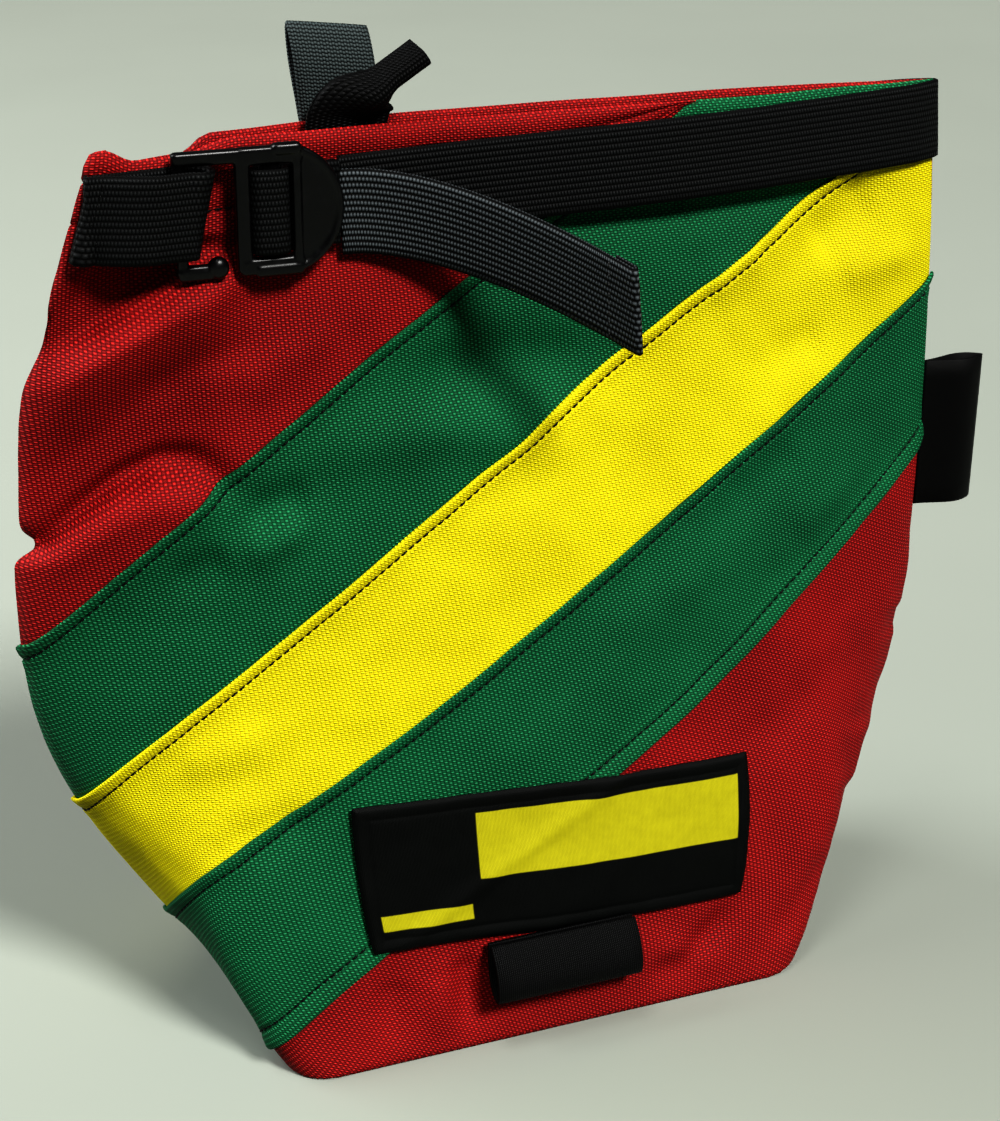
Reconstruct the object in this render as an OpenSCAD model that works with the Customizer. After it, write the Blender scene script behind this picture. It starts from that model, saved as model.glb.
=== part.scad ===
// Soft stand-up bag with a flat mouth, made of woven cloth pieced in diagonal stripes.
// A webbing strap closes the mouth and hooks into a loop with a hook buckle.
// Millimetres. Origin at the centre of the base, +Z up, the front faces -Y.

/* [Bag] */
// Height from the base to the edge of the mouth
bag_h = 300; // [270:1:330]
// Half width of the base
base_half_w = 93; // [85:1:100]
// Half depth of the base
base_half_d = 56; // [48:1:62]
// Corner radius of the base
base_r = 14; // [10:1:20]
// Half width of the fullest part on the left
belly_left = 160; // [150:1:165]
// Height of the fullest part on the left
belly_left_z = 145; // [130:1:160]
// Half width of the fullest part on the right
belly_right = 153; // [146:1:158]
// Height of the fullest part on the right
belly_right_z = 130; // [120:1:150]
// Half width of the mouth on the left, where the strap gathers it
mouth_left = 130; // [124:1:136]
// Half width of the mouth on the right
mouth_right = 142; // [138:1:146]
// Half of the gap between the two sides of the mouth
mouth_half_gap = 6.5; // [6:0.1:8]
// How far the strap pulls the left end of the mouth forwards
mouth_pull = 13; // [8:1:16]

/* [Cloth] */
// Thickness of the outer cloth
cloth_t = 1; // [0.8:0.1:1.2]
// Thickness of the fleece lining
lining_t = 1.2; // [1:0.1:1.6]
// Height of the red and green seam at the middle of the front
seam_a_z = 262; // [255:1:268]
// Height of the green and yellow seam at the middle of the front
seam_b_z = 205; // [198:1:212]
// Height of the yellow and green seam at the middle of the front
seam_c_z = 137; // [130:1:144]
// Height of the green and lower red seam at the middle of the front
seam_d_z = 72; // [66:1:78]

/* [Webbing] */
// Width of the webbing
web_w = 25.4; // [24:0.1:26]
// Thickness of the webbing
web_t = 1.6; // [1.4:0.1:1.8]

/* [Buckle] */
// Outer diameter of the hook bar
hook_d = 3.4; // [3:0.1:3.6]
// Thickness of the buckle's frame
frame_t = 3; // [2.6:0.1:3.2]
// Radius of the rounded thumb tab
tab_r = 19; // [18:0.5:20]

/* [Patch] */
// Width of the woven patch
patch_w = 129; // [120:1:135]
// Height of the woven patch
patch_h = 49; // [44:1:52]
// Width of the elastic brush loop
brush_w = 53; // [46:1:56]

/* [Hidden] */

half_round = 153;                 // cloth from the middle of the front to the side, measured round the bag
round_len = 4 * half_round;       // the whole way round
fold_s = -half_round;             // the left side, where the cloth turns to the back
seam_end_s = half_round - round_len;  // the right side seam, reached round the back
square_z = 150;                   // below this height the lens section turns into the base's rectangle
col_step = 9;                     // spacing of the cloth's facets
gap = 0.15;                       // clearance on each side of a seam
skin = 0.3;                       // clearance between the layers of the base

red = "firebrick";
green = "seagreen";
yellow = "gold";
black = [0.08, 0.08, 0.09];
thread = [0.15, 0.15, 0.15];
fleece = "dimgray";

// --- The bag's form ---
function smooth(t) = let (u = min(1, max(0, t))) u * u * (3 - 2 * u);
function side_w(z, belly, belly_z, mouth) =
    z < belly_z ? base_half_w + (belly - base_half_w) * sin(90 * z / belly_z)
                : belly + (mouth - belly) * pow((z - belly_z) / (bag_h - belly_z), 2);
function half_w(p, z) =
    p < 0 ? side_w(z, belly_left, belly_left_z, mouth_left)
          : side_w(z, belly_right, belly_right_z, mouth_right);
function half_d(z) = base_half_d * pow(1 - min(1, z / bag_h), 1.25) + mouth_half_gap * z / bag_h;

flat_w = base_half_w - base_r;
flat_d = base_half_d - base_r;
arc_len = base_r * PI / 2;

// A quarter of the base's outline, as parts of its half width and half depth
function box_pt(q) =
    let (s = q * (flat_w + arc_len + flat_d),
         a = (s - flat_w) / base_r * 180 / PI,
         corner = [flat_w + base_r * sin(a), flat_d + base_r * cos(a)])
    s < flat_w ? [s / base_half_w, 1]
    : s < flat_w + arc_len ? [corner[0] / base_half_w, corner[1] / base_half_d]
    : [1, (flat_d - (s - flat_w - arc_len)) / base_half_d];
// A quarter of the lens that the bag's section turns into
lens_round = 2.4;
lens_tip = 0.6;
function lens_pt(q) = [q, pow(max(0, 1 - pow(q, lens_round)), lens_tip)];

// A point on the outer face: s is the way round from the middle of the front, z is the height
function on_bag(s0, z) =
    let (s = s0 > half_round ? s0 - round_len : s0 < seam_end_s ? s0 + round_len : s0,
         front = s >= fold_s,
         p = front ? s / half_round : -(s + 2 * half_round) / half_round,
         q = abs(p),
         w = pow(sin(90 * min(1, z / square_z)), 1.4),
         shape = box_pt(q) * (1 - w) + lens_pt(q) * w,
         pull = mouth_pull * smooth((z - 2 * bag_h / 3) / (bag_h / 3)) * pow(max(0, -p), 3))
    [sign(p) * half_w(p, z) * shape[0], (front ? -1 : 1) * half_d(z) * shape[1] - pull, z];

// The same point moved outwards along the surface's normal
function wall(s, z, out) =
    let (a = on_bag(s + 2, z) - on_bag(s - 2, z),
         b = on_bag(s, min(bag_h, z + 2)) - on_bag(s, max(0, z - 2)),
         n = cross(a, b),
         m = [n[0], n[1], 0])
    on_bag(s, z) + out * m / norm(m);

// The seams between the stripes: straight on the flat cloth, a little bowed on the full bag
seam_side_slope = 0.7;
seam_slope = [0.62, 0.644, 0.64, 0.61];
seam_bow = [0.00098, 0.0007, 0, 0];
function seam(z0, slope, bow, s) =
    s >= fold_s ? z0 + slope * s - bow * s * s
                : z0 + slope * fold_s - bow * fold_s * fold_s + seam_side_slope * (s - fold_s);
seam_a = function (s) seam(seam_a_z, seam_slope[0], seam_bow[0], s);
seam_b = function (s) seam(seam_b_z, seam_slope[1], seam_bow[1], s);
seam_c = function (s) seam(seam_c_z, seam_slope[2], seam_bow[2], s);
seam_d = function (s) seam(seam_d_z, seam_slope[3], seam_bow[3], s);
floor_z = function (s) cloth_t + gap;
rim_z = function (s) bag_h;

// --- A thin closed sheet: at(u, v, k) gives its points, with k = 0 on its outer and 1 on its inner face ---
module sheet(us, rows, at) {
    n = len(us) - 1;
    function id(k, i, j) = (k * (n + 1) + i) * (rows + 1) + j;
    points = [for (k = [0, 1], u = us, j = [0:rows]) at(u, j / rows, k)];
    outer = [for (i = [0:n - 1], j = [0:rows - 1]) each
        [[id(0, i, j), id(0, i, j + 1), id(0, i + 1, j + 1)],
         [id(0, i, j), id(0, i + 1, j + 1), id(0, i + 1, j)]]];
    inner = [for (i = [0:n - 1], j = [0:rows - 1]) each
        [[id(1, i, j), id(1, i + 1, j + 1), id(1, i, j + 1)],
         [id(1, i, j), id(1, i + 1, j), id(1, i + 1, j + 1)]]];
    low = [for (i = [0:n - 1]) each
        [[id(0, i, 0), id(0, i + 1, 0), id(1, i + 1, 0)], [id(0, i, 0), id(1, i + 1, 0), id(1, i, 0)]]];
    high = [for (i = [0:n - 1], j = rows) each
        [[id(0, i, j), id(1, i + 1, j), id(0, i + 1, j)], [id(0, i, j), id(1, i, j), id(1, i + 1, j)]]];
    ends = [for (j = [0:rows - 1]) each
        [[id(0, 0, j), id(1, 0, j + 1), id(0, 0, j + 1)], [id(0, 0, j), id(1, 0, j), id(1, 0, j + 1)],
         [id(0, n, j), id(0, n, j + 1), id(1, n, j + 1)], [id(0, n, j), id(1, n, j + 1), id(1, n, j)]]];
    polyhedron(points, concat(outer, inner, low, high, ends), convexity = 8);
}

// Places round the bag from a to b: those between are shared by every layer, so that the facets lie together
function lattice(a, b, step) =
    concat([a], [for (i = [ceil((a + 0.5) / step):floor((b - 0.5) / step)]) i * step], [b]);

// Cloth between two seams, from s_a to s_b round the bag
module panel(s_a, s_b, low, high, rows) {
    sheet(lattice(s_a, s_b, col_step), rows, function (s, v, k)
        let (a = max(floor_z(s), low(s) + gap), b = max(a + gap, min(bag_h, high(s) - gap)))
        wall(s, a + (b - a) * v, -k * cloth_t));
}

// A strip lying on the bag between two distances from its outer face
module strip(s_a, s_b, z_mid, width, near, far, step = col_step, rows = 1) {
    sheet(lattice(s_a, s_b, step), rows, function (s, v, k)
        wall(s, min(bag_h, z_mid(s) + (v - 0.5) * width), k == 0 ? far : near));
}

// --- Outer cloth ---
edge_s = half_round - gap;
back_s = seam_end_s + gap;
// Where a seam that slopes down the back reaches the base
function foot_s(height_at_fold) = fold_s - (height_at_fold - floor_z(0)) / seam_side_slope;

module red_upper_panel() {
    tip_s = 66;   // the seam reaches the mouth here
    color(red) panel(back_s, tip_s, seam_a, rim_z, 16);
}
module green_upper_stripe() {
    color(green) panel(foot_s(seam_a(fold_s)) + 1, edge_s, seam_b, seam_a, 5);
}
module yellow_stripe() {
    color(yellow) panel(foot_s(seam_b(fold_s)) + 1, edge_s, seam_c, seam_b, 5);
}
module green_lower_stripe() {
    color(green) panel(foot_s(seam_c(fold_s)) + 1, edge_s, seam_d, seam_c, 5);
}
module red_lower_panel() {
    tip_s = 3 - seam_d_z / seam_slope[3];
    color(red) panel(tip_s, edge_s, floor_z, seam_d, 8);
}

// --- Base ---
module base_plate(inset, z, t) {
    r = base_r - inset;
    translate([0, 0, z]) linear_extrude(t) {
        square([2 * flat_w, 2 * (base_half_d - inset)], center = true);
        square([2 * (base_half_w - inset), 2 * flat_d], center = true);
        for (x = [-1, 1], y = [-1, 1]) translate([x * flat_w, y * flat_d]) circle(r, $fn = 48);
    }
}
stiffener_t = 2.4;
stiffener_inset = 3.6;
module base_panel() { color(red) base_plate(0, 0, cloth_t); }
module base_stiffener() { color("gray") base_plate(stiffener_inset, cloth_t + skin, stiffener_t); }
module base_lining() {
    color(fleece) base_plate(stiffener_inset, cloth_t + 2 * skin + stiffener_t, lining_t);
}

// --- Fleece lining, just inside the outer cloth ---
lining_z = 8;
lining_near = cloth_t + 0.9;
lining_top = bag_h - 1.5;
// How far the lining reaches to the sides: less where the section narrows to the lens's tip
function lining_reach(z) = half_round - 2 - 22 * smooth(z / square_z);
module lining(side) {
    sheet(lattice(-half_round, half_round, col_step), 16, function (u, v, k)
        let (z = lining_z + (lining_top - lining_z) * v, s = u / half_round * lining_reach(z))
        wall(side > 0 ? s : s - 2 * half_round, z, -(lining_near + k * lining_t)));
}
module lining_front() { color(fleece) lining(1); }
module lining_back() { color(fleece) lining(-1); }

// --- Stitching ---
stitch_w = 0.9;
stitch_near = 0.25;
stitch_far = 0.6;
hem_z = 280;
module stitch_row(s_a, s_b, z_mid) { strip(s_a, s_b, z_mid, stitch_w, stitch_near, stitch_far); }
// Each row runs from the base on the back to where the strap, the patch or the side seam covers it
module seam_topstitching() {
    below = 5;
    above = 7;
    side = 148;
    color(thread) {
        stitch_row(foot_s(seam_a(fold_s)) + 14, 18, function (s) seam_a(s) - below);
        stitch_row(foot_s(seam_b(fold_s)) + 14, 128, function (s) seam_b(s) - below);
        stitch_row(foot_s(seam_c(fold_s)) + 14, side, function (s) seam_c(s) - below);
        stitch_row(-120, patch_s - patch_w / 2 - 2, function (s) seam_d(s) + above);
        stitch_row(patch_s + 12, side, function (s) seam_d(s) + above);
    }
}
// The hem's row shows between the strap's ends and the keeper loop
module hem_topstitching() {
    color(thread) {
        stitch_row(-109, strap_end_s - 2, function (s) hem_z);
        stitch_row(strap_back_s - round_len + 2, fold_s - 2, function (s) hem_z);
    }
}

// --- Woven patch with the brush loop under it ---
patch_s = 2.5;
patch_z = 61.5;
patch_tilt = -0.043;      // rise of the patch per millimetre to the right
patch_near = 0.4;
patch_far = 1.4;
patch_margin = 4;
patch_mid = function (s) patch_z + patch_tilt * (s - patch_s);
module woven_patch() {
    color(black) strip(patch_s - patch_w / 2, patch_s + patch_w / 2, patch_mid, patch_h,
                       patch_near, patch_far, col_step, 4);
}
module patch_stitching() {
    in_w = patch_w / 2 - patch_margin;
    in_h = patch_h / 2 - patch_margin;
    color(thread) {
        for (d = [-1, 1]) {
            strip(patch_s - in_w, patch_s + in_w, function (s) patch_mid(s) + d * in_h, stitch_w,
                  patch_far + stitch_near, patch_far + stitch_far);
            strip(patch_s + d * in_w - stitch_w / 2, patch_s + d * in_w + stitch_w / 2, patch_mid,
                  2 * (in_h - 1), patch_far + stitch_near, patch_far + stitch_far, 1, 4);
        }
    }
}

// A band's face: path(t) for t from 0 to 1 gives its middle line, and h is the distance from it
function band_pt(path, t, h) =
    let (e = 0.004, d = path(t + e) - path(t - e), n = [-d[1], d[0]] / norm(d)) path(t) + h * n;

brush_x = 2;
brush_top = 37;
brush_drop = 19;
brush_bulge = 11.5;
brush_t = 1.4;
brush_off = 1.9;
// Flat against the bag, round at the bottom, and narrow at the top where it is sewn
brush_path = function (t)
    let (a = 360 * t, out = (1 - sin(a)) / 2 * pow(sin(a / 2), 0.6))
    [brush_top - brush_drop / 2 + cos(a) * (brush_drop - brush_t) / 2,
     brush_off + brush_bulge * out];
function brush_pt(t, h) = let (q = band_pt(brush_path, t, h)) [-wall(brush_x, q[0], q[1])[1], q[0]];
module brush_loop() {
    parts = 32;
    ends = 3;     // parts left out at the seam, under the patch
    color(black) translate([brush_x - brush_w / 2, 0, 0]) rotate([90, 0, 90])
        linear_extrude(brush_w) mirror([1, 0]) polygon(concat(
            [for (i = [ends:parts - ends]) brush_pt(i / parts, -brush_t / 2)],
            [for (i = [ends:parts - ends]) brush_pt(1 - i / parts, brush_t / 2)]));
}

// --- Side label, a folded ribbon sewn into the side seam ---
label_z = [149, 203];
label_out = 20;
label_t = 0.7;
label_open = 6;
label_x = 154.2;
// A ribbon folded in two, seen on its edge: narrow at the root and round at the fold
module ribbon_ring(length, open, t) {
    parts = 14;
    function half(u) = open / 2 * sin(180 * pow(u, 1.6)) + 0.05;
    function back(list) = [for (i = [1:len(list)]) list[len(list) - i]];
    all = [for (i = [0:parts]) i / parts];
    hollow = [for (u = all) if (half(u) > t / 2 + 0.1) u];
    difference() {
        polygon(concat([for (u = all) [u * length, half(u) + t / 2]],
                       [for (u = back(all)) [u * length, -half(u) - t / 2]]));
        polygon(concat([for (u = hollow) [u * (length - t), half(u) - t / 2]],
                       [for (u = back(hollow)) [u * (length - t), t / 2 - half(u)]]));
    }
}
module side_label() {
    color(black) translate([label_x, 0, label_z[0]]) linear_extrude(label_z[1] - label_z[0])
        ribbon_ring(label_out, label_open, label_t);
}

// --- Closure strap: sewn on the back, round the right side, along the front to the buckle ---
strap_near = 0.6;
strap_far = strap_near + web_t;
strap_end_s = -70;                // its front end, beside the buckle
strap_back_s = half_round + 232;  // its sewn end on the back
strap_corner_z = 287.2;           // height where it turns round the right side
strap_rise = 0.033;
strap_z = function (s) strap_corner_z - strap_rise * abs(s - half_round);
module closure_strap() {
    color(black) strip(strap_end_s, strap_back_s, strap_z, web_w, strap_near, strap_far, col_step / 2, 2);
}
module strap_anchor_stitching() {
    near = strap_far + stitch_near;
    far = strap_far + stitch_far;
    side = web_w - 6;
    box_s = strap_back_s - 4;
    color(thread) {
        for (d = [-1, 1])
            strip(box_s - side, box_s, function (s) strap_z(s) + d * side / 2, stitch_w, near, far,
                  col_step / 2);
        for (s = [box_s - side, box_s])
            strip(s - stitch_w / 2, s + stitch_w / 2, strap_z, side - 1.2, near, far, 1, 2);
    }
}

// --- Keeper loop: sewn beside the left edge, out to its fold and back under itself ---
keeper_z = 281.4;
keeper_root = -149;
keeper_fold = -113;
keeper_lift = 10;                 // height of the open loop over the bag
keeper_rise = 22;                 // how soon after the root it is open
turn_a = 0.5;                     // parts of the loop's line: outer leg, fold, inner leg
turn_b = 0.72;
fold_r = (keeper_lift - web_t - strap_near) / 2;
keeper_low = strap_near + web_t / 2;
function keeper_out(s) = keeper_low + web_t + (2 * fold_r - web_t) * smooth((s - keeper_root) / keeper_rise);
keeper_line = function (t)
    let (end_s = keeper_fold - fold_r,
         out_s = keeper_root + (end_s - keeper_root) * t / turn_a,
         back_s = end_s - (t - turn_b) / (1 - turn_b) * (end_s - keeper_root),
         a = 90 - 180 * (t - turn_a) / (turn_b - turn_a))
    t < turn_a ? [out_s, keeper_out(out_s)]
    : t < turn_b ? [end_s + fold_r * cos(a), keeper_low + fold_r + fold_r * sin(a)]
    : [back_s, keeper_low];
module keeper_loop() {
    outer = [for (i = [0.2:10.2]) turn_a * i / 11];
    fold = [for (i = [0:10]) turn_a + (turn_b - turn_a) * i / 10];
    inner = [for (i = [1:5]) turn_b + (0.9 - turn_b) * i / 5];
    color(black) sheet(concat(outer, fold, inner), 2, function (t, v, k)
        let (q = band_pt(keeper_line, t, (0.5 - k) * web_t))
        wall(q[0], keeper_z + (v - 0.5) * web_w, q[1]));
}
module keeper_loop_stitching() {
    color(thread) for (s = [keeper_root + 2.2, keeper_root + 5]) {
        near = keeper_out(s + stitch_w) + web_t / 2 + stitch_near;
        strip(s, s + stitch_w, function (s) keeper_z, web_w - 4, near, near + stitch_far - stitch_near, 1, 2);
    }
}

// --- Hook buckle, one moulding: hook, frame, centre bar and thumb tab ---
buckle_y = -15.1;
buckle_z = [261.8, 298.6];
buckle_mid = (buckle_z[0] + buckle_z[1]) / 2;
hook_x = -107;
frame_x = -91;
centre_x = -83.3;
centre_w = 5;
tab_x = -74.5;
rail = 4;
hook_tip_x = -97.5;
module bar_box(x0, x1, z0, z1, t = frame_t) {
    translate([x0, buckle_y - t / 2, z0]) cube([x1 - x0, t, z1 - z0]);
}
module hook_buckle() {
    low = buckle_z[0];
    high = buckle_z[1];
    hook_z = low + 2;
    color(black) union() {
        bar_box(frame_x, frame_x + rail, low, high);
        bar_box(frame_x, tab_x + 1, high - rail, high);
        bar_box(frame_x, tab_x + 1, low, low + rail);
        bar_box(centre_x, centre_x + centre_w, low + 1, high - 1, 2);
        intersection() {
            translate([tab_x - 4.5, buckle_y + frame_t / 2, buckle_mid]) rotate([90, 0, 0])
                cylinder(h = frame_t, r = tab_r, $fn = 96);
            bar_box(tab_x, tab_x + tab_r, low - 1, high + 1);
        }
        bar_box(hook_x, frame_x + 1, high - rail, high);
        translate([hook_x, buckle_y, hook_z]) {
            cylinder(h = high - hook_z, d = hook_d, $fn = 32);
            rotate([0, 90, 0]) cylinder(h = hook_tip_x - hook_x, d = hook_d, $fn = 32);
        }
        translate([hook_tip_x, buckle_y, hook_z]) sphere(d = hook_d + 1, $fn = 32);
    }
}

// --- Strap where it turns round the buckle's centre bar ---
wrap_y = [-18.3, -11.9];
wrap_x = [-86.5, -75.2];
tail_t = 1.3;
tail_x = -58.9;
tail_y = -12.6;
module strap_buckle_wrap() {
    size = [wrap_x[1] - wrap_x[0], wrap_y[1] - wrap_y[0]];
    lead_x = wrap_x[1] - 0.2;     // the layer that leads on towards the tail
    color(black) translate([0, 0, buckle_mid - web_w / 2]) linear_extrude(web_w) {
        difference() {
            translate([wrap_x[0], wrap_y[0]]) square(size);
            translate([wrap_x[0] + web_t, wrap_y[0] + web_t]) square(size - 2 * [web_t, web_t]);
        }
        translate([lead_x, tail_y - tail_t / 2]) square([tail_x - 1.2 - lead_x, tail_t]);
    }
}

// --- Free tail of the strap: leaves the buckle under the tab, swings out and droops ---
tail_reach = [73.3, -43.4, -27];
tail_lean = 13;
tail_droop = [1, 1.8, 1.6];
function tail_mid(t) =
    [tail_x, tail_y, buckle_mid] + [for (a = [0:2]) tail_reach[a] * pow(t, tail_droop[a])];
function unit(v) = v / norm(v);
function tail_pt(t, v, k) =
    let (e = 0.01,
         dir = unit(tail_mid(min(1, t + e)) - tail_mid(max(0, t - e))),
         lean = [0, -sin(tail_lean * t), cos(tail_lean * t)],
         across = unit(lean - dir * (dir * lean)))
    tail_mid(t) + across * (v - 0.5) * web_w + cross(dir, across) * (0.5 - k) * tail_t;
module strap_tail() {
    color(black) sheet([for (i = [0:14]) i / 14], 2, function (t, v, k) tail_pt(t, v, k));
}

// --- Haul loop standing on the back of the mouth, and the pull tab inside it ---
haul_x = -56.8;
haul_root = [4.6, bag_h + 0.8];
haul_tall = 29;
haul_open = 6.8;
haul_lean = 8;
haul_t = 1.4;
module haul_loop() {
    color(black) translate([haul_x - web_w / 2, haul_root[0], haul_root[1]]) rotate([-haul_lean, 0, 0])
        rotate([90, 0, 90]) linear_extrude(web_w) rotate(90)
            ribbon_ring(haul_tall, haul_open, haul_t);
}
tab_base_l = [-66, -1.6, bag_h + 0.8];
tab_base_r = [-42, -1.6, bag_h + 0.8];
tab_top_l = [-51, -3.4, bag_h + 13];
tab_top_r = [-35, -2.6, bag_h + 20.5];
tab_t = 2.2;
module pull_tab() {
    color(black) sheet([0, 0.25, 0.5, 0.75, 1], 4, function (u, v, k)
        let (low = tab_base_l + (tab_base_r - tab_base_l) * u,
             high = tab_top_l + (tab_top_r - tab_top_l) * u)
        low + (high - low) * (smooth(v) + v) / 2 + [0, (k - 0.5) * tab_t, 0]);
}

red_upper_panel();
green_upper_stripe();
yellow_stripe();
green_lower_stripe();
red_lower_panel();
base_panel();
base_stiffener();
base_lining();
lining_front();
lining_back();
seam_topstitching();
hem_topstitching();
woven_patch();
patch_stitching();
brush_loop();
side_label();
closure_strap();
strap_anchor_stitching();
strap_buckle_wrap();
strap_tail();
keeper_loop();
keeper_loop_stitching();
hook_buckle();
haul_loop();
pull_tab();
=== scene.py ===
import math
import bpy
import numpy as np
from mathutils import Matrix, Vector, noise


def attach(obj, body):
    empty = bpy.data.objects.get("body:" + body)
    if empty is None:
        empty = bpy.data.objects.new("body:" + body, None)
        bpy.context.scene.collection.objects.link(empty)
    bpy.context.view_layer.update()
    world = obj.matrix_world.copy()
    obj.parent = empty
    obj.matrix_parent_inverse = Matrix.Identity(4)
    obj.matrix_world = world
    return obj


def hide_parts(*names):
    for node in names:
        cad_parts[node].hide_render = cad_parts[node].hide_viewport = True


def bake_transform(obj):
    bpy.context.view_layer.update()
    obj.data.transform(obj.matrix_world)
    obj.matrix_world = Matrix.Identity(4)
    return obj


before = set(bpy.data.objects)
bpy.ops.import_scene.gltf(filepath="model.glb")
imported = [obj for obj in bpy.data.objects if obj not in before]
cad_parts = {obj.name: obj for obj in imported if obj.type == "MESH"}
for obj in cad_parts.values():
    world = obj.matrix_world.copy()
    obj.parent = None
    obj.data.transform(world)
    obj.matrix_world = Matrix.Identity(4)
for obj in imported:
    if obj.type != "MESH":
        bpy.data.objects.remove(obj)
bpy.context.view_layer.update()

mm = 0.001      # the pieces are worked out in millimetres and stored in metres

# the bag's form, the same as the frame's
bag = {
    "height": 300.0,
    "baseHalfWidth": 93.0, "baseHalfDepth": 56.0, "baseRadius": 14.0,
    "bellyLeft": 160.0, "bellyLeftZ": 145.0,
    "bellyRight": 153.0, "bellyRightZ": 130.0,
    "mouthLeft": 130.0, "mouthRight": 142.0,
    "mouthHalfGap": 6.5, "mouthPull": 13.0,
    "halfRound": 153.0,        # cloth from the middle of the front to a side
    "squareZ": 150.0,          # the section is a lens above this height
    "lensPower": (2.4, 0.6),   # how round the lens is
    "turnPower": 1.4,          # how the section turns from box to lens on the way up
    "thinPower": 1.25,         # and how it thins
}
foldS = -bag["halfRound"]                       # left side, where the cloth turns to the back
seamS = bag["halfRound"]                        # right side seam
roundLength = 4 * bag["halfRound"]
backSeamS = seamS - roundLength                 # the same seam, reached round the back


def smooth(t):
    t = np.clip(t, 0.0, 1.0)
    return t * t * (3 - 2 * t)


def hump(way, reach):
    return np.exp(-(way / reach) ** 2)


def sideWidth(z, belly, bellyZ, mouth):
    # how far a side stands from the middle: out to the belly, then in to the mouth
    foot = bag["baseHalfWidth"]
    low = foot + (belly - foot) * np.sin(math.pi / 2 * np.clip(z / bellyZ, 0, 1))
    high = belly + (mouth - belly) * np.clip((z - bellyZ) / (bag["height"] - bellyZ), 0, 1) ** 2
    return np.where(z < bellyZ, low, high)


def onBag(s, z):
    # a point of the smooth outer face: s is the way round from the middle of the front, z the height
    s, z = np.broadcast_arrays(np.asarray(s, float), np.asarray(z, float))
    s = np.where(s > seamS, s - roundLength, s)
    s = np.where(s < backSeamS, s + roundLength, s)
    front = s >= foldS
    p = np.where(front, s, -(s - 2 * foldS)) / bag["halfRound"]
    q = np.abs(p)
    flatW = bag["baseHalfWidth"] - bag["baseRadius"]
    flatD = bag["baseHalfDepth"] - bag["baseRadius"]
    arc = bag["baseRadius"] * math.pi / 2
    way = q * (flatW + arc + flatD)
    turn = np.clip((way - flatW) / bag["baseRadius"], 0, math.pi / 2)
    boxX = np.where(way < flatW, way, flatW + bag["baseRadius"] * np.sin(turn))
    boxX = boxX / bag["baseHalfWidth"]
    boxY = np.where(way < flatW + arc, flatD + bag["baseRadius"] * np.cos(turn), flatD - (way - flatW - arc))
    boxY = boxY / bag["baseHalfDepth"]
    sidePower, crownPower = bag["lensPower"]
    lens = np.maximum(0, 1 - q ** sidePower) ** crownPower
    w = np.sin(math.pi / 2 * np.clip(z / bag["squareZ"], 0, 1)) ** bag["turnPower"]
    halfW = np.where(p < 0, sideWidth(z, bag["bellyLeft"], bag["bellyLeftZ"], bag["mouthLeft"]),
                     sideWidth(z, bag["bellyRight"], bag["bellyRightZ"], bag["mouthRight"]))
    t = np.clip(z / bag["height"], 0, 1)
    halfD = bag["baseHalfDepth"] * (1 - t) ** bag["thinPower"] + bag["mouthHalfGap"] * t
    pull = bag["mouthPull"] * smooth(3 * t - 2) * np.maximum(0, -p) ** 3
    x = np.sign(p) * halfW * (boxX * (1 - w) + q * w)
    y = np.where(front, -1, 1) * halfD * (boxY * (1 - w) + lens * w) - pull
    return np.stack([x, y, z], -1)


def outward(s, z, reach=3.0):
    # the level direction straight out of the bag's face
    z = np.asarray(z, float)
    a = onBag(np.asarray(s) + reach, z) - onBag(np.asarray(s) - reach, z)
    b = onBag(s, np.clip(z, 0, bag["height"] - 2) + 2) - onBag(s, np.clip(z, 2, bag["height"]) - 2)
    n = np.cross(a, b)
    n[..., 2] *= 0.0
    return n / np.linalg.norm(n, axis=-1, keepdims=True)


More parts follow.
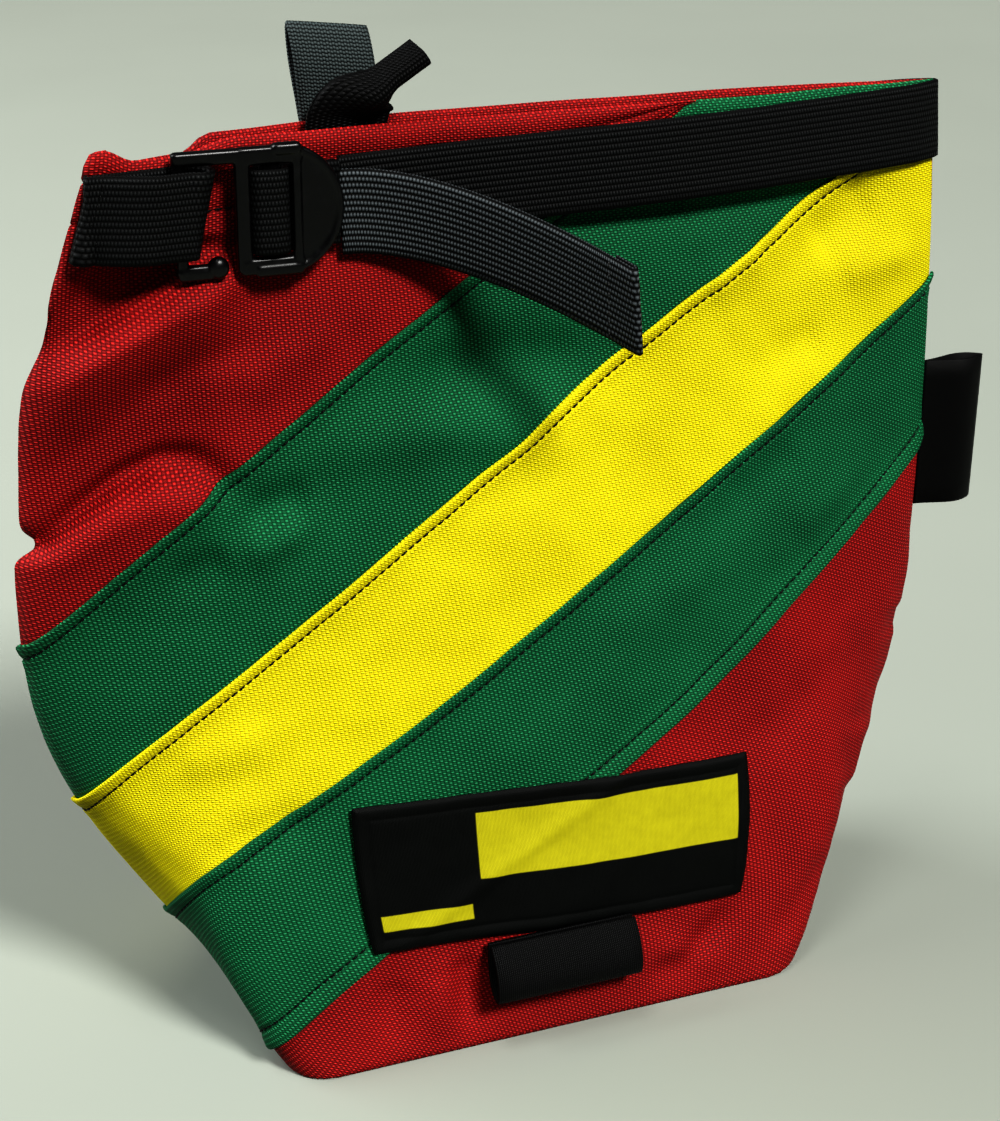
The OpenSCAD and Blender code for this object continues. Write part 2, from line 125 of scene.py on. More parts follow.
# creases of the standing bag: the line of each in s and z, its half width and its rise (mm)
creases = [
    ([(-153, 250), (-148, 262), (-145, 272)], 4.5, 3.5),
    ([(-154, 243), (-143, 247), (-135, 251)], 3.6, -3.0),
    ([(-126, 226), (-104, 236), (-84, 240)], 6.0, -1.4),
    ([(-90, 187), (-70, 192)], 7.0, -3.4),
    ([(-112, 167), (-94, 175)], 7.0, -3.0),
    ([(-92, 175), (-72, 183)], 6.0, 2.6),
    ([(-40, 222), (-12, 226), (24, 222)], 10.0, -4.6),
    ([(-70, 206), (-30, 208), (6, 200)], 9.0, 3.0),
    ([(-96, 226), (-60, 244)], 9.0, 2.2),
    ([(-12, 267), (50, 269), (118, 270)], 8.0, -3.4),      # slack under the strap
    ([(60, 240), (84, 252)], 8.0, 2.0),
    ([(100, 250), (128, 266)], 7.5, -3.4),
    ([(112, 240), (142, 246)], 7.5, 2.0),
    ([(84, 214), (106, 222)], 8.0, -1.8),
    ([(-96, 80), (-72, 90)], 7.0, -2.2),
    ([(-112, 108), (-84, 118)], 8.0, 1.6),
    ([(68, 168), (96, 186)], 8.0, -2.6),
    ([(92, 156), (116, 172)], 8.0, 1.8),
    ([(20, 130), (60, 150)], 10.0, 1.6),
    ([(134, 24), (140, 50), (150, 84)], 17.0, 3.4),
    ([(120, 52), (126, 80)], 15.0, 3.6),
    ([(146, 102), (148, 114)], 11.0, -1.8),
    ([(70, 84), (96, 100)], 9.0, -1.8),
    ([(-33, 4), (-30, 34)], 4.0, -3.2),
    ([(-44, 2), (-40, 30)], 5.0, 2.2),
    ([(-60, 4), (-54, 30)], 5.5, -2.6),
    ([(28, 6), (46, 12), (64, 30)], 6.0, -3.0),
    ([(34, 24), (62, 6)], 5.0, 1.8),
    ([(80, 10), (100, 40)], 8.0, -2.2),
    ([(-190, 60), (-230, 150)], 14.0, -5.0),
    ([(-206, 60), (-250, 160)], 10.0, 3.0),
    ([(-260, 40), (-300, 120), (-310, 200)], 18.0, 4.0),
    ([(-340, 60), (-390, 150)], 14.0, -5.0),
    ([(-410, 190), (-350, 230), (-290, 235)], 14.0, -4.0),
    ([(-200, 200), (-240, 236), (-280, 240)], 11.0, 3.4),
    ([(-430, 60), (-410, 120)], 9.0, -3.0),
]


def creased(s, z):
    # each crease is a soft ridge or groove along its line, lower towards its ends
    total = np.zeros(s.shape)
    for line, width, rise in creases:
        line = np.array(line, float)
        lengths = np.linalg.norm(np.diff(line, axis=0), axis=1)
        starts = np.concatenate([[0], np.cumsum(lengths)])
        best = np.full(s.shape, 1e9)
        along = np.zeros(s.shape)
        for k in range(len(line) - 1):
            d = (line[k + 1] - line[k]) / lengths[k]
            t = np.clip((s - line[k, 0]) * d[0] + (z - line[k, 1]) * d[1], 0, lengths[k])
            far = np.hypot(s - line[k, 0] - t * d[0], z - line[k, 1] - t * d[1])
            along = np.where(far < best, (starts[k] + t) / starts[-1], along)
            best = np.minimum(best, far)
        taper = 0.35 + 0.65 * smooth(along / 0.25) * smooth((1 - along) / 0.25)
        total += rise * taper * hump(best, width)
    return total


# the big fold by the left side: cloth leans in below the ridge and comes out again under the crease
pocket = {
    "s": [-170, -158, -147, -139, -127, -115, -104, -94, -78],
    "ridge": [219, 225, 232, 238, 246, 253, 256, 259, 263],
    "crease": [174, 178, 182, 189, 199, 204, 203, 196, 184],
    # 0 at the crease, 1 at the ridge, and how far the cloth stands out there
    "way": [-1, -0.5, -0.26, -0.12, -0.03, 0.0, 0.05, 0.14, 0.45, 0.85, 1.0, 1.12, 1.45, 1.75, 2.1],
    "rise": [0, 1.8, 3.4, 1.4, -7.0, -9.5, -8.5, -3.4, -0.8, 7.8, 9.8, 7.6, -5.0, -8.0, 0],
    "below": 42.0, "above": 30.0, "end": (-86.0, -110.0), "soften": 2.4, "back": (14, 30),
}


def pocketRise(s, z):
    crease = np.interp(s, pocket["s"], pocket["crease"])
    ridge = np.interp(s, pocket["s"], pocket["ridge"])
    total = np.zeros(s.shape)
    shifts = np.linspace(-pocket["soften"], pocket["soften"], 7)     # rounds the corners of the profile
    for shift in shifts:
        h = z + shift
        way = np.where(h < ridge, (h - crease) / (ridge - crease), 1 + (h - ridge) / pocket["above"])
        way = np.where(h < crease, (h - crease) / pocket["below"], way)
        total += np.interp(way, pocket["way"], pocket["rise"]) / len(shifts)
    first, last = pocket["end"]
    backStart, backReach = pocket["back"]
    around = 1 - smooth((foldS - backStart - s) / backReach)         # it runs out soon on the back
    return total * smooth((first - s) / (first - last)) * around


def ripple(s, z, size, seed):
    # smooth random height, the same every time
    flat = np.stack([np.ravel(s) / size, np.ravel(z) / size], -1)
    out = np.array([noise.noise(Vector((a, b, seed))) for a, b in flat])
    return out.reshape(np.shape(s))


# how the whole cloth wrinkles: ripples (rise, size and seed), and what holds them down
wrinkles = {
    "ripples": [(1.7, 62.0, 3.1), (0.7, 24.0, 8.7), (0.25, 9.0, 1.3)],
    "calmZ": 266, "calmReach": 8,                       # flat under the strap
    "gripReach": 22,                                    # held by the base
    "foldReach": 11, "foldCalm": 0.8, "foldRipple": 0.55,    # a fold is stiffer than the cloth beside it,
    "dentZ": 178.5, "dentReach": 4.5, "dentShare": 0.9,      # and dented where the big fold's crease meets it
    "pinch": 0.9, "pinchReach": 2.5,                    # drawn in by the side seam
    # how much of the gap inside a hollow may take, less the layers of cloth, and more at the fold
    "frontShare": 0.72, "backShare": 0.28, "layers": 2.6, "leastRoom": 0.4,
    "foldRoom": 9, "foldRoomReach": 6,
}


def wrinkle(s, z):
    # how far the cloth stands out of the smooth bag, or in where it is below 0
    s, z = np.broadcast_arrays(np.asarray(s, float), np.asarray(z, float))
    total = creased(s, z) + pocketRise(s, z)
    broad = sum(rise * ripple(s, z, size, seed) for rise, size, seed in wrinkles["ripples"])
    calm = 1 - smooth((z - wrinkles["calmZ"]) / wrinkles["calmReach"])
    beside = hump(s - foldS, wrinkles["foldReach"])
    dent = hump(z - wrinkles["dentZ"], wrinkles["dentReach"])
    total = total * (1 - wrinkles["foldCalm"] * beside * (1 - wrinkles["dentShare"] * dent))
    broad = broad * (1 - wrinkles["foldRipple"] * beside)
    grip = smooth(z / wrinkles["gripReach"])
    seam = np.minimum(np.abs(s - seamS), np.abs(s - backSeamS))
    pinch = -wrinkles["pinch"] * hump(seam, wrinkles["pinchReach"])
    total = total * calm * grip + broad * (0.25 + 0.75 * calm) * grip + pinch
    # a hollow never reaches the other side's lining
    gap = np.abs(onBag(s, z)[..., 1] - onBag(2 * foldS - s, z)[..., 1])
    share = np.where(s > foldS, wrinkles["frontShare"], wrinkles["backShare"])
    room = np.maximum(wrinkles["leastRoom"], gap * share - wrinkles["layers"])
    room = room + wrinkles["foldRoom"] * hump(s - foldS, wrinkles["foldRoomReach"])
    return np.where(total < 0, -room * np.tanh(-total / room), total)


def stretchOf(s, first, firstReach, last, lastReach):
    # 1 along a stretch of the way round, 0 outside it
    return smooth((s - first) / firstReach) * (1 - smooth((s - last) / lastReach))


# the strap draws the mouth's left end down a little
mouthSag = {"front": 3.6, "frontStretch": (-149, 10, -126, 22), "back": 4.6, "backStretch": (157, 6, 184, 10),
            "wave": 0.5, "waveSize": 34.0, "fromZ": 262, "reach": 30}


def mouthDip(s, z):
    front = mouthSag["front"] * stretchOf(s, *mouthSag["frontStretch"])
    back = mouthSag["back"] * stretchOf(-s, *mouthSag["backStretch"])
    wave = mouthSag["wave"] * ripple(s, z * 0, mouthSag["waveSize"], 6.6)
    return (np.where(s > foldS, front, back) + wave) * smooth((z - mouthSag["fromZ"]) / mouthSag["reach"])


def cloth(s, z, out):
    # a point of the creased cloth, out millimetres from its face
    s, z, out = np.broadcast_arrays(np.asarray(s, float), np.asarray(z, float), np.asarray(out, float))
    points = onBag(s, z) + outward(s, z) * (out + wrinkle(s, z))[..., None]
    points[..., 2] -= mouthDip(s, z)
    return points


def deselect():
    for thing in bpy.context.selected_objects:
        thing.select_set(False)


def activate(thing):
    deselect()
    thing.select_set(True)
    bpy.context.view_layer.objects.active = thing


def newPiece(name, points, faces, uv, finish):
    # a mesh from points in millimetres; its UV map holds the cloth's flat places
    data = bpy.data.meshes.new(name)
    data.from_pydata([tuple(v) for v in np.asarray(points) * mm], [], [tuple(f) for f in faces])
    if uv is not None:
        layer = data.uv_layers.new(name="UVMap")
        loops = np.zeros(len(data.loops), dtype=np.int64)
        data.loops.foreach_get("vertex_index", loops)
        layer.data.foreach_set("uv", (np.asarray(uv)[loops] * mm).ravel())
    data.update()
    thing = bpy.data.objects.new(name, data)
    bpy.context.collection.objects.link(thing)
    data.polygons.foreach_set("use_smooth", [True] * len(data.polygons))
    data.materials.append(finish)
    return thing


def gridFaces(rows, cols):
    i, j = np.meshgrid(np.arange(rows - 1), np.arange(cols - 1), indexing="ij")
    a = i * cols + j
    b = a + cols
    return np.stack([a, b, b + 1, a + 1], -1).reshape(-1, 4)


def tubeFaces(first, rings, sides):
    # the wall of a closed tube whose rings of points start at first
    k, j = np.meshgrid(np.arange(rings - 1), np.arange(sides), indexing="ij")
    a = first + k * sides
    n = (j + 1) % sides
    return np.stack([a + j, a + n, a + sides + n, a + sides + j], -1).reshape(-1, 4).tolist()


def applyAll(thing):
    activate(thing)
    for modifier in list(thing.modifiers):
        bpy.ops.object.modifier_apply(modifier=modifier.name)


def thicken(thing, thickness, offset=-1.0):
    modifier = thing.modifiers.new("Thickness", "SOLIDIFY")
    modifier.thickness = thickness * mm
    modifier.offset = offset
    applyAll(thing)


def turnOutwards(thing):
    activate(thing)
    bpy.ops.object.mode_set(mode="EDIT")
    bpy.ops.mesh.select_all(action="SELECT")
    bpy.ops.mesh.normals_make_consistent(inside=False)
    bpy.ops.object.mode_set(mode="OBJECT")


def wayAlong(path):
    # distance from the start of a path to each of its points
    return np.concatenate([[0], np.cumsum(np.linalg.norm(np.diff(path, axis=0), axis=1))])


def aheadOf(path):
    ahead = np.gradient(path, axis=0)
    return ahead / np.linalg.norm(ahead, axis=-1, keepdims=True)


def strap(name, path, across, normal, width, thickness, finish, crown=0.12):
    # webbing along a path: a flat section with soft edges is carried along it
    path, across, normal = (np.asarray(a, float) for a in (path, across, normal))
    half = width / 2
    edge = thickness / 2
    lanes = np.linspace(-1, 1, 9)
    top = [(half * k - edge * 0.5 * np.sign(k) * (abs(k) == 1), edge * (1 - crown * k ** 4)) for k in lanes]
    section = top + [(half, 0.0)] + [(x, -y) for x, y in top[::-1]] + [(-half, 0.0)]
    section = np.array(section)
    rings = path[:, None] + across[:, None] * section[None, :, :1] + normal[:, None] * section[None, :, 1:]
    count = len(section)
    uv = np.stack(np.broadcast_arrays(section[None, :, 0], wayAlong(path)[:, None]), -1).reshape(-1, 2)
    faces = tubeFaces(0, len(path), count)
    faces.append(tuple(range(count))[::-1])
    faces.append(tuple(range((len(path) - 1) * count, len(path) * count)))
    thing = newPiece(name, rings.reshape(-1, 3), faces, uv, finish)
    turnOutwards(thing)
    return thing


def stitches(name, path, normal, finish, length, gap, radius, sink=0.12):
    # one bead of thread for each stitch, dipping at both ends
    path, normal = np.asarray(path, float), np.asarray(normal, float)
    steps = wayAlong(path)

    def at(line, way):
        return np.array([np.interp(way, steps, line[:, k]) for k in range(3)])

    count = max(1, int(steps[-1] / (length + gap)))
    rings = 5
    sides = 6
    points = []
    faces = []
    for k in range(count):
        first = steps[-1] * k / count + gap / 2
        last = steps[-1] * (k + 1) / count - gap / 2
        bead = len(points)
        for r in range(rings):
            t = r / (rings - 1)
            way = first + (last - first) * t
            mid = at(path, way)
            up = at(normal, way)
            ahead = at(path, way + 0.4) - at(path, way - 0.4)
            ahead /= np.linalg.norm(ahead)
            side = np.cross(ahead, up)
            side /= np.linalg.norm(side)
            swell = radius * math.sin(math.pi * min(max(t, 0.12), 0.88)) ** 0.5
            lift = -sink - 0.5 * (1 - math.sin(math.pi * t) ** 0.4)
            for q in range(sides):
                a = 2 * math.pi * q / sides
                points.append(mid + up * (lift + swell * math.sin(a)) + side * swell * math.cos(a))
        faces += tubeFaces(bead, rings, sides)
        faces.append(tuple(bead + q for q in range(sides))[::-1])
        faces.append(tuple(bead + (rings - 1) * sides + q for q in range(sides)))
    thing = newPiece(name, points, faces, None, finish)
    turnOutwards(thing)
    return thing


def flatPlaces(thing):
    # where each corner of the cloth lay when it was cut
    flat = np.zeros(len(thing.data.loops) * 2)
    thing.data.uv_layers[0].data.foreach_get("uv", flat)
    return flat.reshape(-1, 2)


def cutArea(thing):
    data = thing.data
    data.calc_loop_triangles()
    loops = np.zeros(len(data.loop_triangles) * 3, dtype=np.int64)
    data.loop_triangles.foreach_get("loops", loops)
    a, b, c = flatPlaces(thing)[loops].reshape(-1, 3, 2).transpose(1, 0, 2)
    return float(np.abs(np.cross(b - a, c - a)).sum() / 2)


def cutSize(thing, slope=0.0):
    # width and length of the rectangle round the cut, which lies at a slope
    flat = flatPlaces(thing)
    turn = math.atan(slope)
    along = flat[:, 0] * math.cos(turn) + flat[:, 1] * math.sin(turn)
    over = flat[:, 1] * math.cos(turn) - flat[:, 0] * math.sin(turn)
    return (float(np.ptp(over)), float(np.ptp(along)))


def joinPieces(name, things):
    deselect()
    for thing in things:
        thing.select_set(True)
    bpy.context.view_layer.objects.active = things[0]
    bpy.ops.object.join()
    things[0].name = name
    things[0].data.name = name
    return things[0]


def standsFor(node):
    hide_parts(node)


class Wire:
    # a socket of a material, with arithmetic
    def __init__(self, tree, socket=None):
        self.tree = tree
        self.socket = socket

    def node(self, kind, settings=None, values=None, out=0):
        made = self.tree.nodes.new(kind)
        for key, value in (settings or {}).items():
            setattr(made, key, value)
        for key, value in (values or {}).items():
            if isinstance(value, Wire):
                self.tree.links.new(value.socket, made.inputs[key])
            else:
                made.inputs[key].default_value = value
        return Wire(self.tree, made.outputs[out])

    def sum(self, operation, *others):
        return self.node("ShaderNodeMath", {"operation": operation}, dict(enumerate((self,) + others)))

    def __add__(self, other):
        return self.sum("ADD", other)

    def __sub__(self, other):
        return self.sum("SUBTRACT", other)

    def __mul__(self, other):
        return self.sum("MULTIPLY", other)

    def __truediv__(self, other):
        return self.sum("DIVIDE", other)

    def __rsub__(self, other):
        return self.node("ShaderNodeMath", {"operation": "SUBTRACT"}, {0: other, 1: self})

    __radd__ = __add__
    __rmul__ = __mul__

    def __pow__(self, other):
        return self.sum("POWER", other)

    def between(self, low, high):
        settings = {"interpolation_type": "SMOOTHSTEP"}
        return self.node("ShaderNodeMapRange", settings, {0: self, 1: low, 2: high})

    def mix(self, first, second):
        # self 0 gives first, 1 gives second; colours or wires of colours
        return self.node("ShaderNodeMix", {"data_type": "RGBA"}, {0: self, 6: first, 7: second}, out=2)


def startFinish(name, roughness, **constants):
    material = bpy.data.materials.new(name)
    material.use_nodes = True
    tree = material.node_tree
    shader = tree.nodes["Principled BSDF"]
    shader.inputs["Roughness"].default_value = roughness
    for key, value in constants.items():
        shader.inputs[key.replace("_", " ")].default_value = value
    return material, tree, shader


def linkTo(tree, shader, **wires):
    for key, wire in wires.items():
        tree.links.new(wire.socket, shader.inputs[key.replace("_", " ")])


def placeWires(tree, source):
    # a coordinate, and its x, y and z
    at = Wire(tree).node("ShaderNodeTexCoord", out=source)
    parts = at.node("ShaderNodeSeparateXYZ", None, {0: at}).socket.node.outputs
    return at, *(Wire(tree, part) for part in parts)


def cloudy(at, scale, detail=2.0, roughness=0.5):
    return at.node("ShaderNodeTexNoise", None,
                   {"Vector": at, "Scale": scale, "Detail": detail, "Roughness": roughness})


def bumped(height, strength, distance):
    return height.node("ShaderNodeBump", None, {"Strength": strength, "Distance": distance, "Height": height})


def arch(wave):
    # 0 at the ends of each repeat, 1 in its middle
    return ((wave.sum("FRACT") - 0.5) * math.pi).sum("COSINE")


# packcloth: plain weave of thick yarn; the yarn's crowns are coloured light as a painted highlight and the
# holes between dark as painted shade
clothLook = {
    "across": 1.24 * mm, "along": 0.72 * mm, "slant": 0.19, "relief": 0.34 * mm, "roughness": 0.6,
    # per colour: light is the painted highlight on the crowns, mean the tone between, dark the painted shade
    # in the holes
    "red": {"light": (0.66, 0.032, 0.026), "mean": (0.31, 0.012, 0.012), "dark": (0.070, 0.0014, 0.0018)},
    "green": {"light": (0.034, 0.305, 0.130), "mean": (0.007, 0.130, 0.049), "dark": (0.0, 0.026, 0.010)},
    "yellow": {"light": (1.0, 0.96, 0.016), "mean": (0.90, 0.81, 0.007), "dark": (0.54, 0.42, 0.003)},
}


def clothFinish(name, colour, useObject=False):
    material, tree, shader = startFinish(name, clothLook["roughness"], Specular_IOR_Level=0.16)
    at, x, y, _ = placeWires(tree, "Object" if useObject else "UV")
    x = (x + y * clothLook["slant"]) / clothLook["across"]
    y = y / clothLook["along"]
    x = x + cloudy(at, 260.0) * 0.06                   # the yarns wander a little
    over = ((x.sum("FLOOR") + y.sum("FLOOR")) * 0.5).sum("FRACT") * 2.0
    across, along = arch(x), arch(y)
    warp = (across ** 0.8) * (along * 0.75 + 0.25)
    weft = (along ** 0.7) * (across * 0.45 + 0.30) * 0.42
    height = over * warp + (1 - over) * weft
    patches = cloudy(at, 34.0, 2.0)
    look = clothLook[colour]
    # painted highlight and shade: the tone follows the yarn's height, lightest on the crowns and darkest in
    # the holes
    tone = height * 0.92 + patches * 0.22 - 0.04
    shade = tone.between(0.05, 0.45).mix((*look["dark"], 1), (*look["mean"], 1))
    shade = tone.between(0.45, 0.95).mix(shade, (*look["light"], 1))
    bump = bumped(height, 1.0, clothLook["relief"])
    rough = patches * 0.12 + 0.52 + (1 - height) * 0.12
    linkTo(tree, shader, Base_Color=shade, Roughness=rough, Normal=bump)
    return material


# nylon webbing: short floats in staggered columns; fuzzy crowns painted grey as painted sheen on near black,
# the gaps between painted dark as painted shade
webbingLook = {
    "across": 1.75 * mm, "along": 1.0 * mm, "relief": 0.42 * mm, "roughness": 0.5, "rows": 0.0,
    "light": (0.017, 0.0185, 0.019), "dark": (0.0002, 0.0002, 0.0003),
}


def webbingFinish(name, look):
    material, tree, shader = startFinish(name, look["roughness"], Specular_IOR_Level=0.14)
    at, x, y, _ = placeWires(tree, "UV")
    x = x / look["across"]
    column = (x.sum("FLOOR") * 0.5).sum("FRACT") * (1 - look["rows"])
    y = y / look["along"] + column
    rib = (arch(x) ** 1.1) * (1 - look["rows"]) + look["rows"]
    height = rib * (arch(y) ** 0.8 * 0.75 + 0.25)
    fuzz = cloudy(at, 2200.0, 2.0)
    # painted sheen and shade: the tone follows the floats' height, grey on the crowns and near black between
    tone = (height * 0.9 + fuzz * 0.35 - 0.25).between(0.1, 1.0)
    shade = tone.mix((*look["dark"], 1), (*look["light"], 1))
    bump = bumped(height + fuzz * 0.15, 0.9, look["relief"])
    linkTo(tree, shader, Base_Color=shade, Roughness=0.46 + (1 - height) * 0.25, Normal=bump)
    return material


# badge cloth: black satin with a plain yellow field and bar woven in
patchLook = {
    "pitch": 0.42 * mm, "relief": 0.1 * mm,
    # blackCrown is painted sheen on the black threads' crowns, and yellowGap painted shade between the yellow
    # threads
    "black": (0.0003, 0.0005, 0.0004), "blackCrown": (0.002, 0.003, 0.0025),
    "yellow": (0.62, 0.58, 0.02), "yellowGap": (0.30, 0.27, 0.006),
    "field": (-26.5, 59.0, -4.0, 18.5), "bar": (-58.5, -30.0, -17.6, -12.2),
}


def patchFinish(name, look):
    material, tree, shader = startFinish(name, 0.55, Specular_IOR_Level=0.12)
    at, x, y, _ = placeWires(tree, "UV")

    def inside(box):
        left, right, low, high = (v * mm for v in box)
        soft = 0.25 * mm
        return x.between(left - soft, left + soft) * (1 - x.between(right - soft, right + soft)) \
            * y.between(low - soft, low + soft) * (1 - y.between(high - soft, high + soft))

    gold = inside(look["field"]) + inside(look["bar"])
    u = x / look["pitch"]
    v = y / look["pitch"] + (u.sum("FLOOR") * 0.5).sum("FRACT")
    crown = arch(u) * arch(v)
    wear = cloudy(at, 300.0, 3.0)
    # painted sheen and shade: thread crowns are coloured lighter and the gaps between darker, with wear
    # varying it at random
    black = (crown * 0.7 + wear * 0.4).between(0.1, 1.0).mix((*look["black"], 1), (*look["blackCrown"], 1))
    yellow = (crown * 0.8 + wear * 0.35).between(0.0, 0.9).mix((*look["yellowGap"], 1), (*look["yellow"], 1))
    bump = bumped(crown + gold * 0.8, 0.7, look["relief"])
    linkTo(tree, shader, Base_Color=gold.mix(black, yellow), Normal=bump)
    return material


threadLook = {"light": (0.005, 0.005, 0.005), "dark": (0.0005, 0.0005, 0.0005), "twist": 900.0}


def threadFinish(name, look):
    material, tree, shader = startFinish(name, 0.5, Specular_IOR_Level=0.15)
    at, x, y, z = placeWires(tree, "Object")
    strand = ((x + y * 0.6 + z * 1.3) * look["twist"] * 2 * math.pi).sum("SINE") * 0.5 + 0.5
    shade = strand.mix((*look["dark"], 1), (*look["light"], 1))
    linkTo(tree, shader, Base_Color=shade, Normal=bumped(strand, 0.5, 0.1 * mm))
    return material


plasticLook = {"base": (0.0018, 0.0018, 0.002), "worn": (0.006, 0.006, 0.0065), "roughness": 0.27}


def plasticFinish(name, look):
    material, tree, shader = startFinish(name, look["roughness"], Specular_IOR_Level=0.3)
    at = placeWires(tree, "Object")[0]
    grain = cloudy(at, 5200.0, 2.0)
    scuff = cloudy(at, 330.0, 5.0, 0.65)
    shade = scuff.between(0.5, 0.8).mix((*look["base"], 1), (*look["worn"], 1))
    bump = bumped(grain + scuff * 0.6, 0.25, 0.08 * mm)
    linkTo(tree, shader, Base_Color=shade, Roughness=look["roughness"] - 0.06 + scuff * 0.2, Normal=bump)
    return material


fleeceLook = {"light": (0.05, 0.05, 0.052), "dark": (0.006, 0.006, 0.007)}


def fleeceFinish(name, look):
    material, tree, shader = startFinish(name, 0.95, Sheen_Weight=0.12, Sheen_Roughness=0.6,
                                         Specular_IOR_Level=0.1)
    at = placeWires(tree, "Object")[0]
    pile = cloudy(at, 900.0, 4.0, 0.7)
    clump = cloudy(at, 160.0, 3.0, 0.6)
    tone = (pile * 0.6 + clump * 0.6).between(0.3, 0.9)
    bump = bumped(pile + clump * 0.5, 0.9, 0.6 * mm)
    linkTo(tree, shader, Base_Color=tone.mix((*look["dark"], 1), (*look["light"], 1)), Normal=bump)
    return material


print("materials")
redCloth = clothFinish("redCloth", "red")
greenCloth = clothFinish("greenCloth", "green")
yellowCloth = clothFinish("yellowCloth", "yellow")
baseCloth = clothFinish("baseCloth", "red", useObject=True)
webbing = webbingFinish("blackWebbing", webbingLook)
# painted shade: the pull tab's webbing is given darker colours for the shade it lies in
webbingPaintedShade = webbingFinish("webbingPaintedShade", {
    **webbingLook, "light": (0.006, 0.006, 0.0065), "dark": (0.0006, 0.0006, 0.0006)})
# painted light: the haul loop's webbing is coloured light grey for the window light on its face
haulWebbing = webbingFinish("haulWebbingPaintedLight", {
    **webbingLook, "across": 0.9 * mm, "along": 1.08 * mm, "rows": 0.6,
    "light": (0.088, 0.112, 0.112), "dark": (0.0006, 0.0008, 0.0008)})
# painted sheen: the tail, the strap's own black webbing, is coloured grey for the window light it reflects
tailWebbingPaintedSheen = webbingFinish("tailWebbingPaintedSheen", {**webbingLook, "light": (0.14, 0.16, 0.17)})
elastic = webbingFinish("blackElastic", {
    **webbingLook, "across": 0.7 * mm, "along": 0.6 * mm, "relief": 0.16 * mm,
    "light": (0.0085, 0.009, 0.0095), "dark": (0.0002, 0.0002, 0.0002)})
ribbon = webbingFinish("labelRibbon", {
    **webbingLook, "across": 0.4 * mm, "along": 0.4 * mm, "relief": 0.05 * mm,
    "light": (0.0022, 0.0022, 0.0024), "dark": (0.0006, 0.0006, 0.0006)})
patchCloth = patchFinish("patchCloth", patchLook)
foam = fleeceFinish("foamBoard", {"light": (0.06, 0.06, 0.065), "dark": (0.03, 0.03, 0.032)})
thread = threadFinish("blackThread", threadLook)
greyThread = threadFinish("greyThread", {
    **threadLook, "light": (0.11, 0.11, 0.11), "dark": (0.02, 0.02, 0.02)})
plastic = plasticFinish("blackPlastic", plasticLook)
fleece = fleeceFinish("greyFleece", fleeceLook)


sideSlope = 0.7      # the seams' slope on the back
seams = {
    # height at the middle of the front, slope, how it bows, and how it bows more on the right
    "A": {"middle": 265.8, "slope": 0.549, "bow": 0.0015, "right": 0.0024},
    "B": {"middle": 204.9, "slope": 0.668, "bow": 0.00056, "right": 0.0},
    "C": {"middle": 141.6, "slope": 0.656, "bow": 0.0, "right": -0.0003},
    "D": {"middle": 72.0, "slope": 0.61, "bow": 0.0, "right": 0.00042},
}


def seamZ(key, s):
    line = seams[key]
    s = np.asarray(s, float)
    front = line["middle"] + line["slope"] * s - line["bow"] * s * s + line["right"] * np.maximum(s, 0) ** 2
    atFold = line["middle"] + line["slope"] * foldS - line["bow"] * foldS * foldS
    return np.where(s >= foldS, front, atFold + sideSlope * (s - foldS))


# how a panel's edge lies: distance from the edge and height over the bag, ending with what is turned under
edges = {
    "over": [(9, 0), (7, 0.25), (5.7, 0.42), (5.2, 0.2), (4.9, -0.1), (4.6, 0.2), (3.4, 0.95), (1.2, 1.7),
             (0.4, 1.65), (0.0, 1.2), (0.0, 0.65), (0.5, 0.3), (4.0, 0.15)],
    "overWide": [(12, 0), (9, 0.25), (7.8, 0.42), (7.3, 0.2), (7.0, -0.1), (6.7, 0.2), (4.6, 1.0), (1.4, 1.7),
                 (0.4, 1.65), (0.0, 1.2), (0.0, 0.65), (0.5, 0.3), (4.0, 0.15)],
    "under": [(9, 0), (7, 0), (5.6, 0), (4.8, 0), (4.2, 0), (3.6, 0), (2.4, 0), (1.1, 0),
              (0.35, 0), (0.0, -0.05), (-0.6, -0.1), (-1.4, -0.15), (-3.0, -0.2)],
    "rim": [(22, 0), (20.6, -0.1), (20, -0.45), (19.4, -0.1), (14, 0.1), (9.2, 0.1), (8.2, -0.4), (7.0, 0.5),
            (3.6, 0.9), (0.6, 0.3), (0.0, -1.0), (1.0, -2.2), (17, -2.4)],
    "base": [(9, 0), (7, 0), (5.6, 0), (4.8, 0), (4.2, 0), (3.6, 0), (2.4, 0), (1.5, -0.1),
             (0.9, -0.35), (0.5, -0.7), (0.3, -1.2), (0.3, -3.0), (0.3, -6.0)],
}
panelCut = {
    "step": 2.2, "backStep": 3.19, "fine": 22,     # closer columns on the front, where the creases are
    "thickness": 0.4, "turned": -0.9,              # below this height the cloth is turned under
    "fullEdge": 30.0, "fullRise": 12.0,            # a narrower panel has narrower and lower edges
}


def edgeRows(named, atEdge, tall, upwards):
    # the heights and rises of the rows along one edge; upwards is 1 for a low edge and -1 for a high one
    shares = np.array([edges[name] for name in named]).transpose(1, 2, 0)
    narrow = np.clip(tall / panelCut["fullEdge"], 0.02, 1)
    rise = np.clip(tall / panelCut["fullRise"], 0.3, 1)
    return [(atEdge + upwards * way * np.where(way > 0, narrow, 1), up * rise) for way, up in shares]


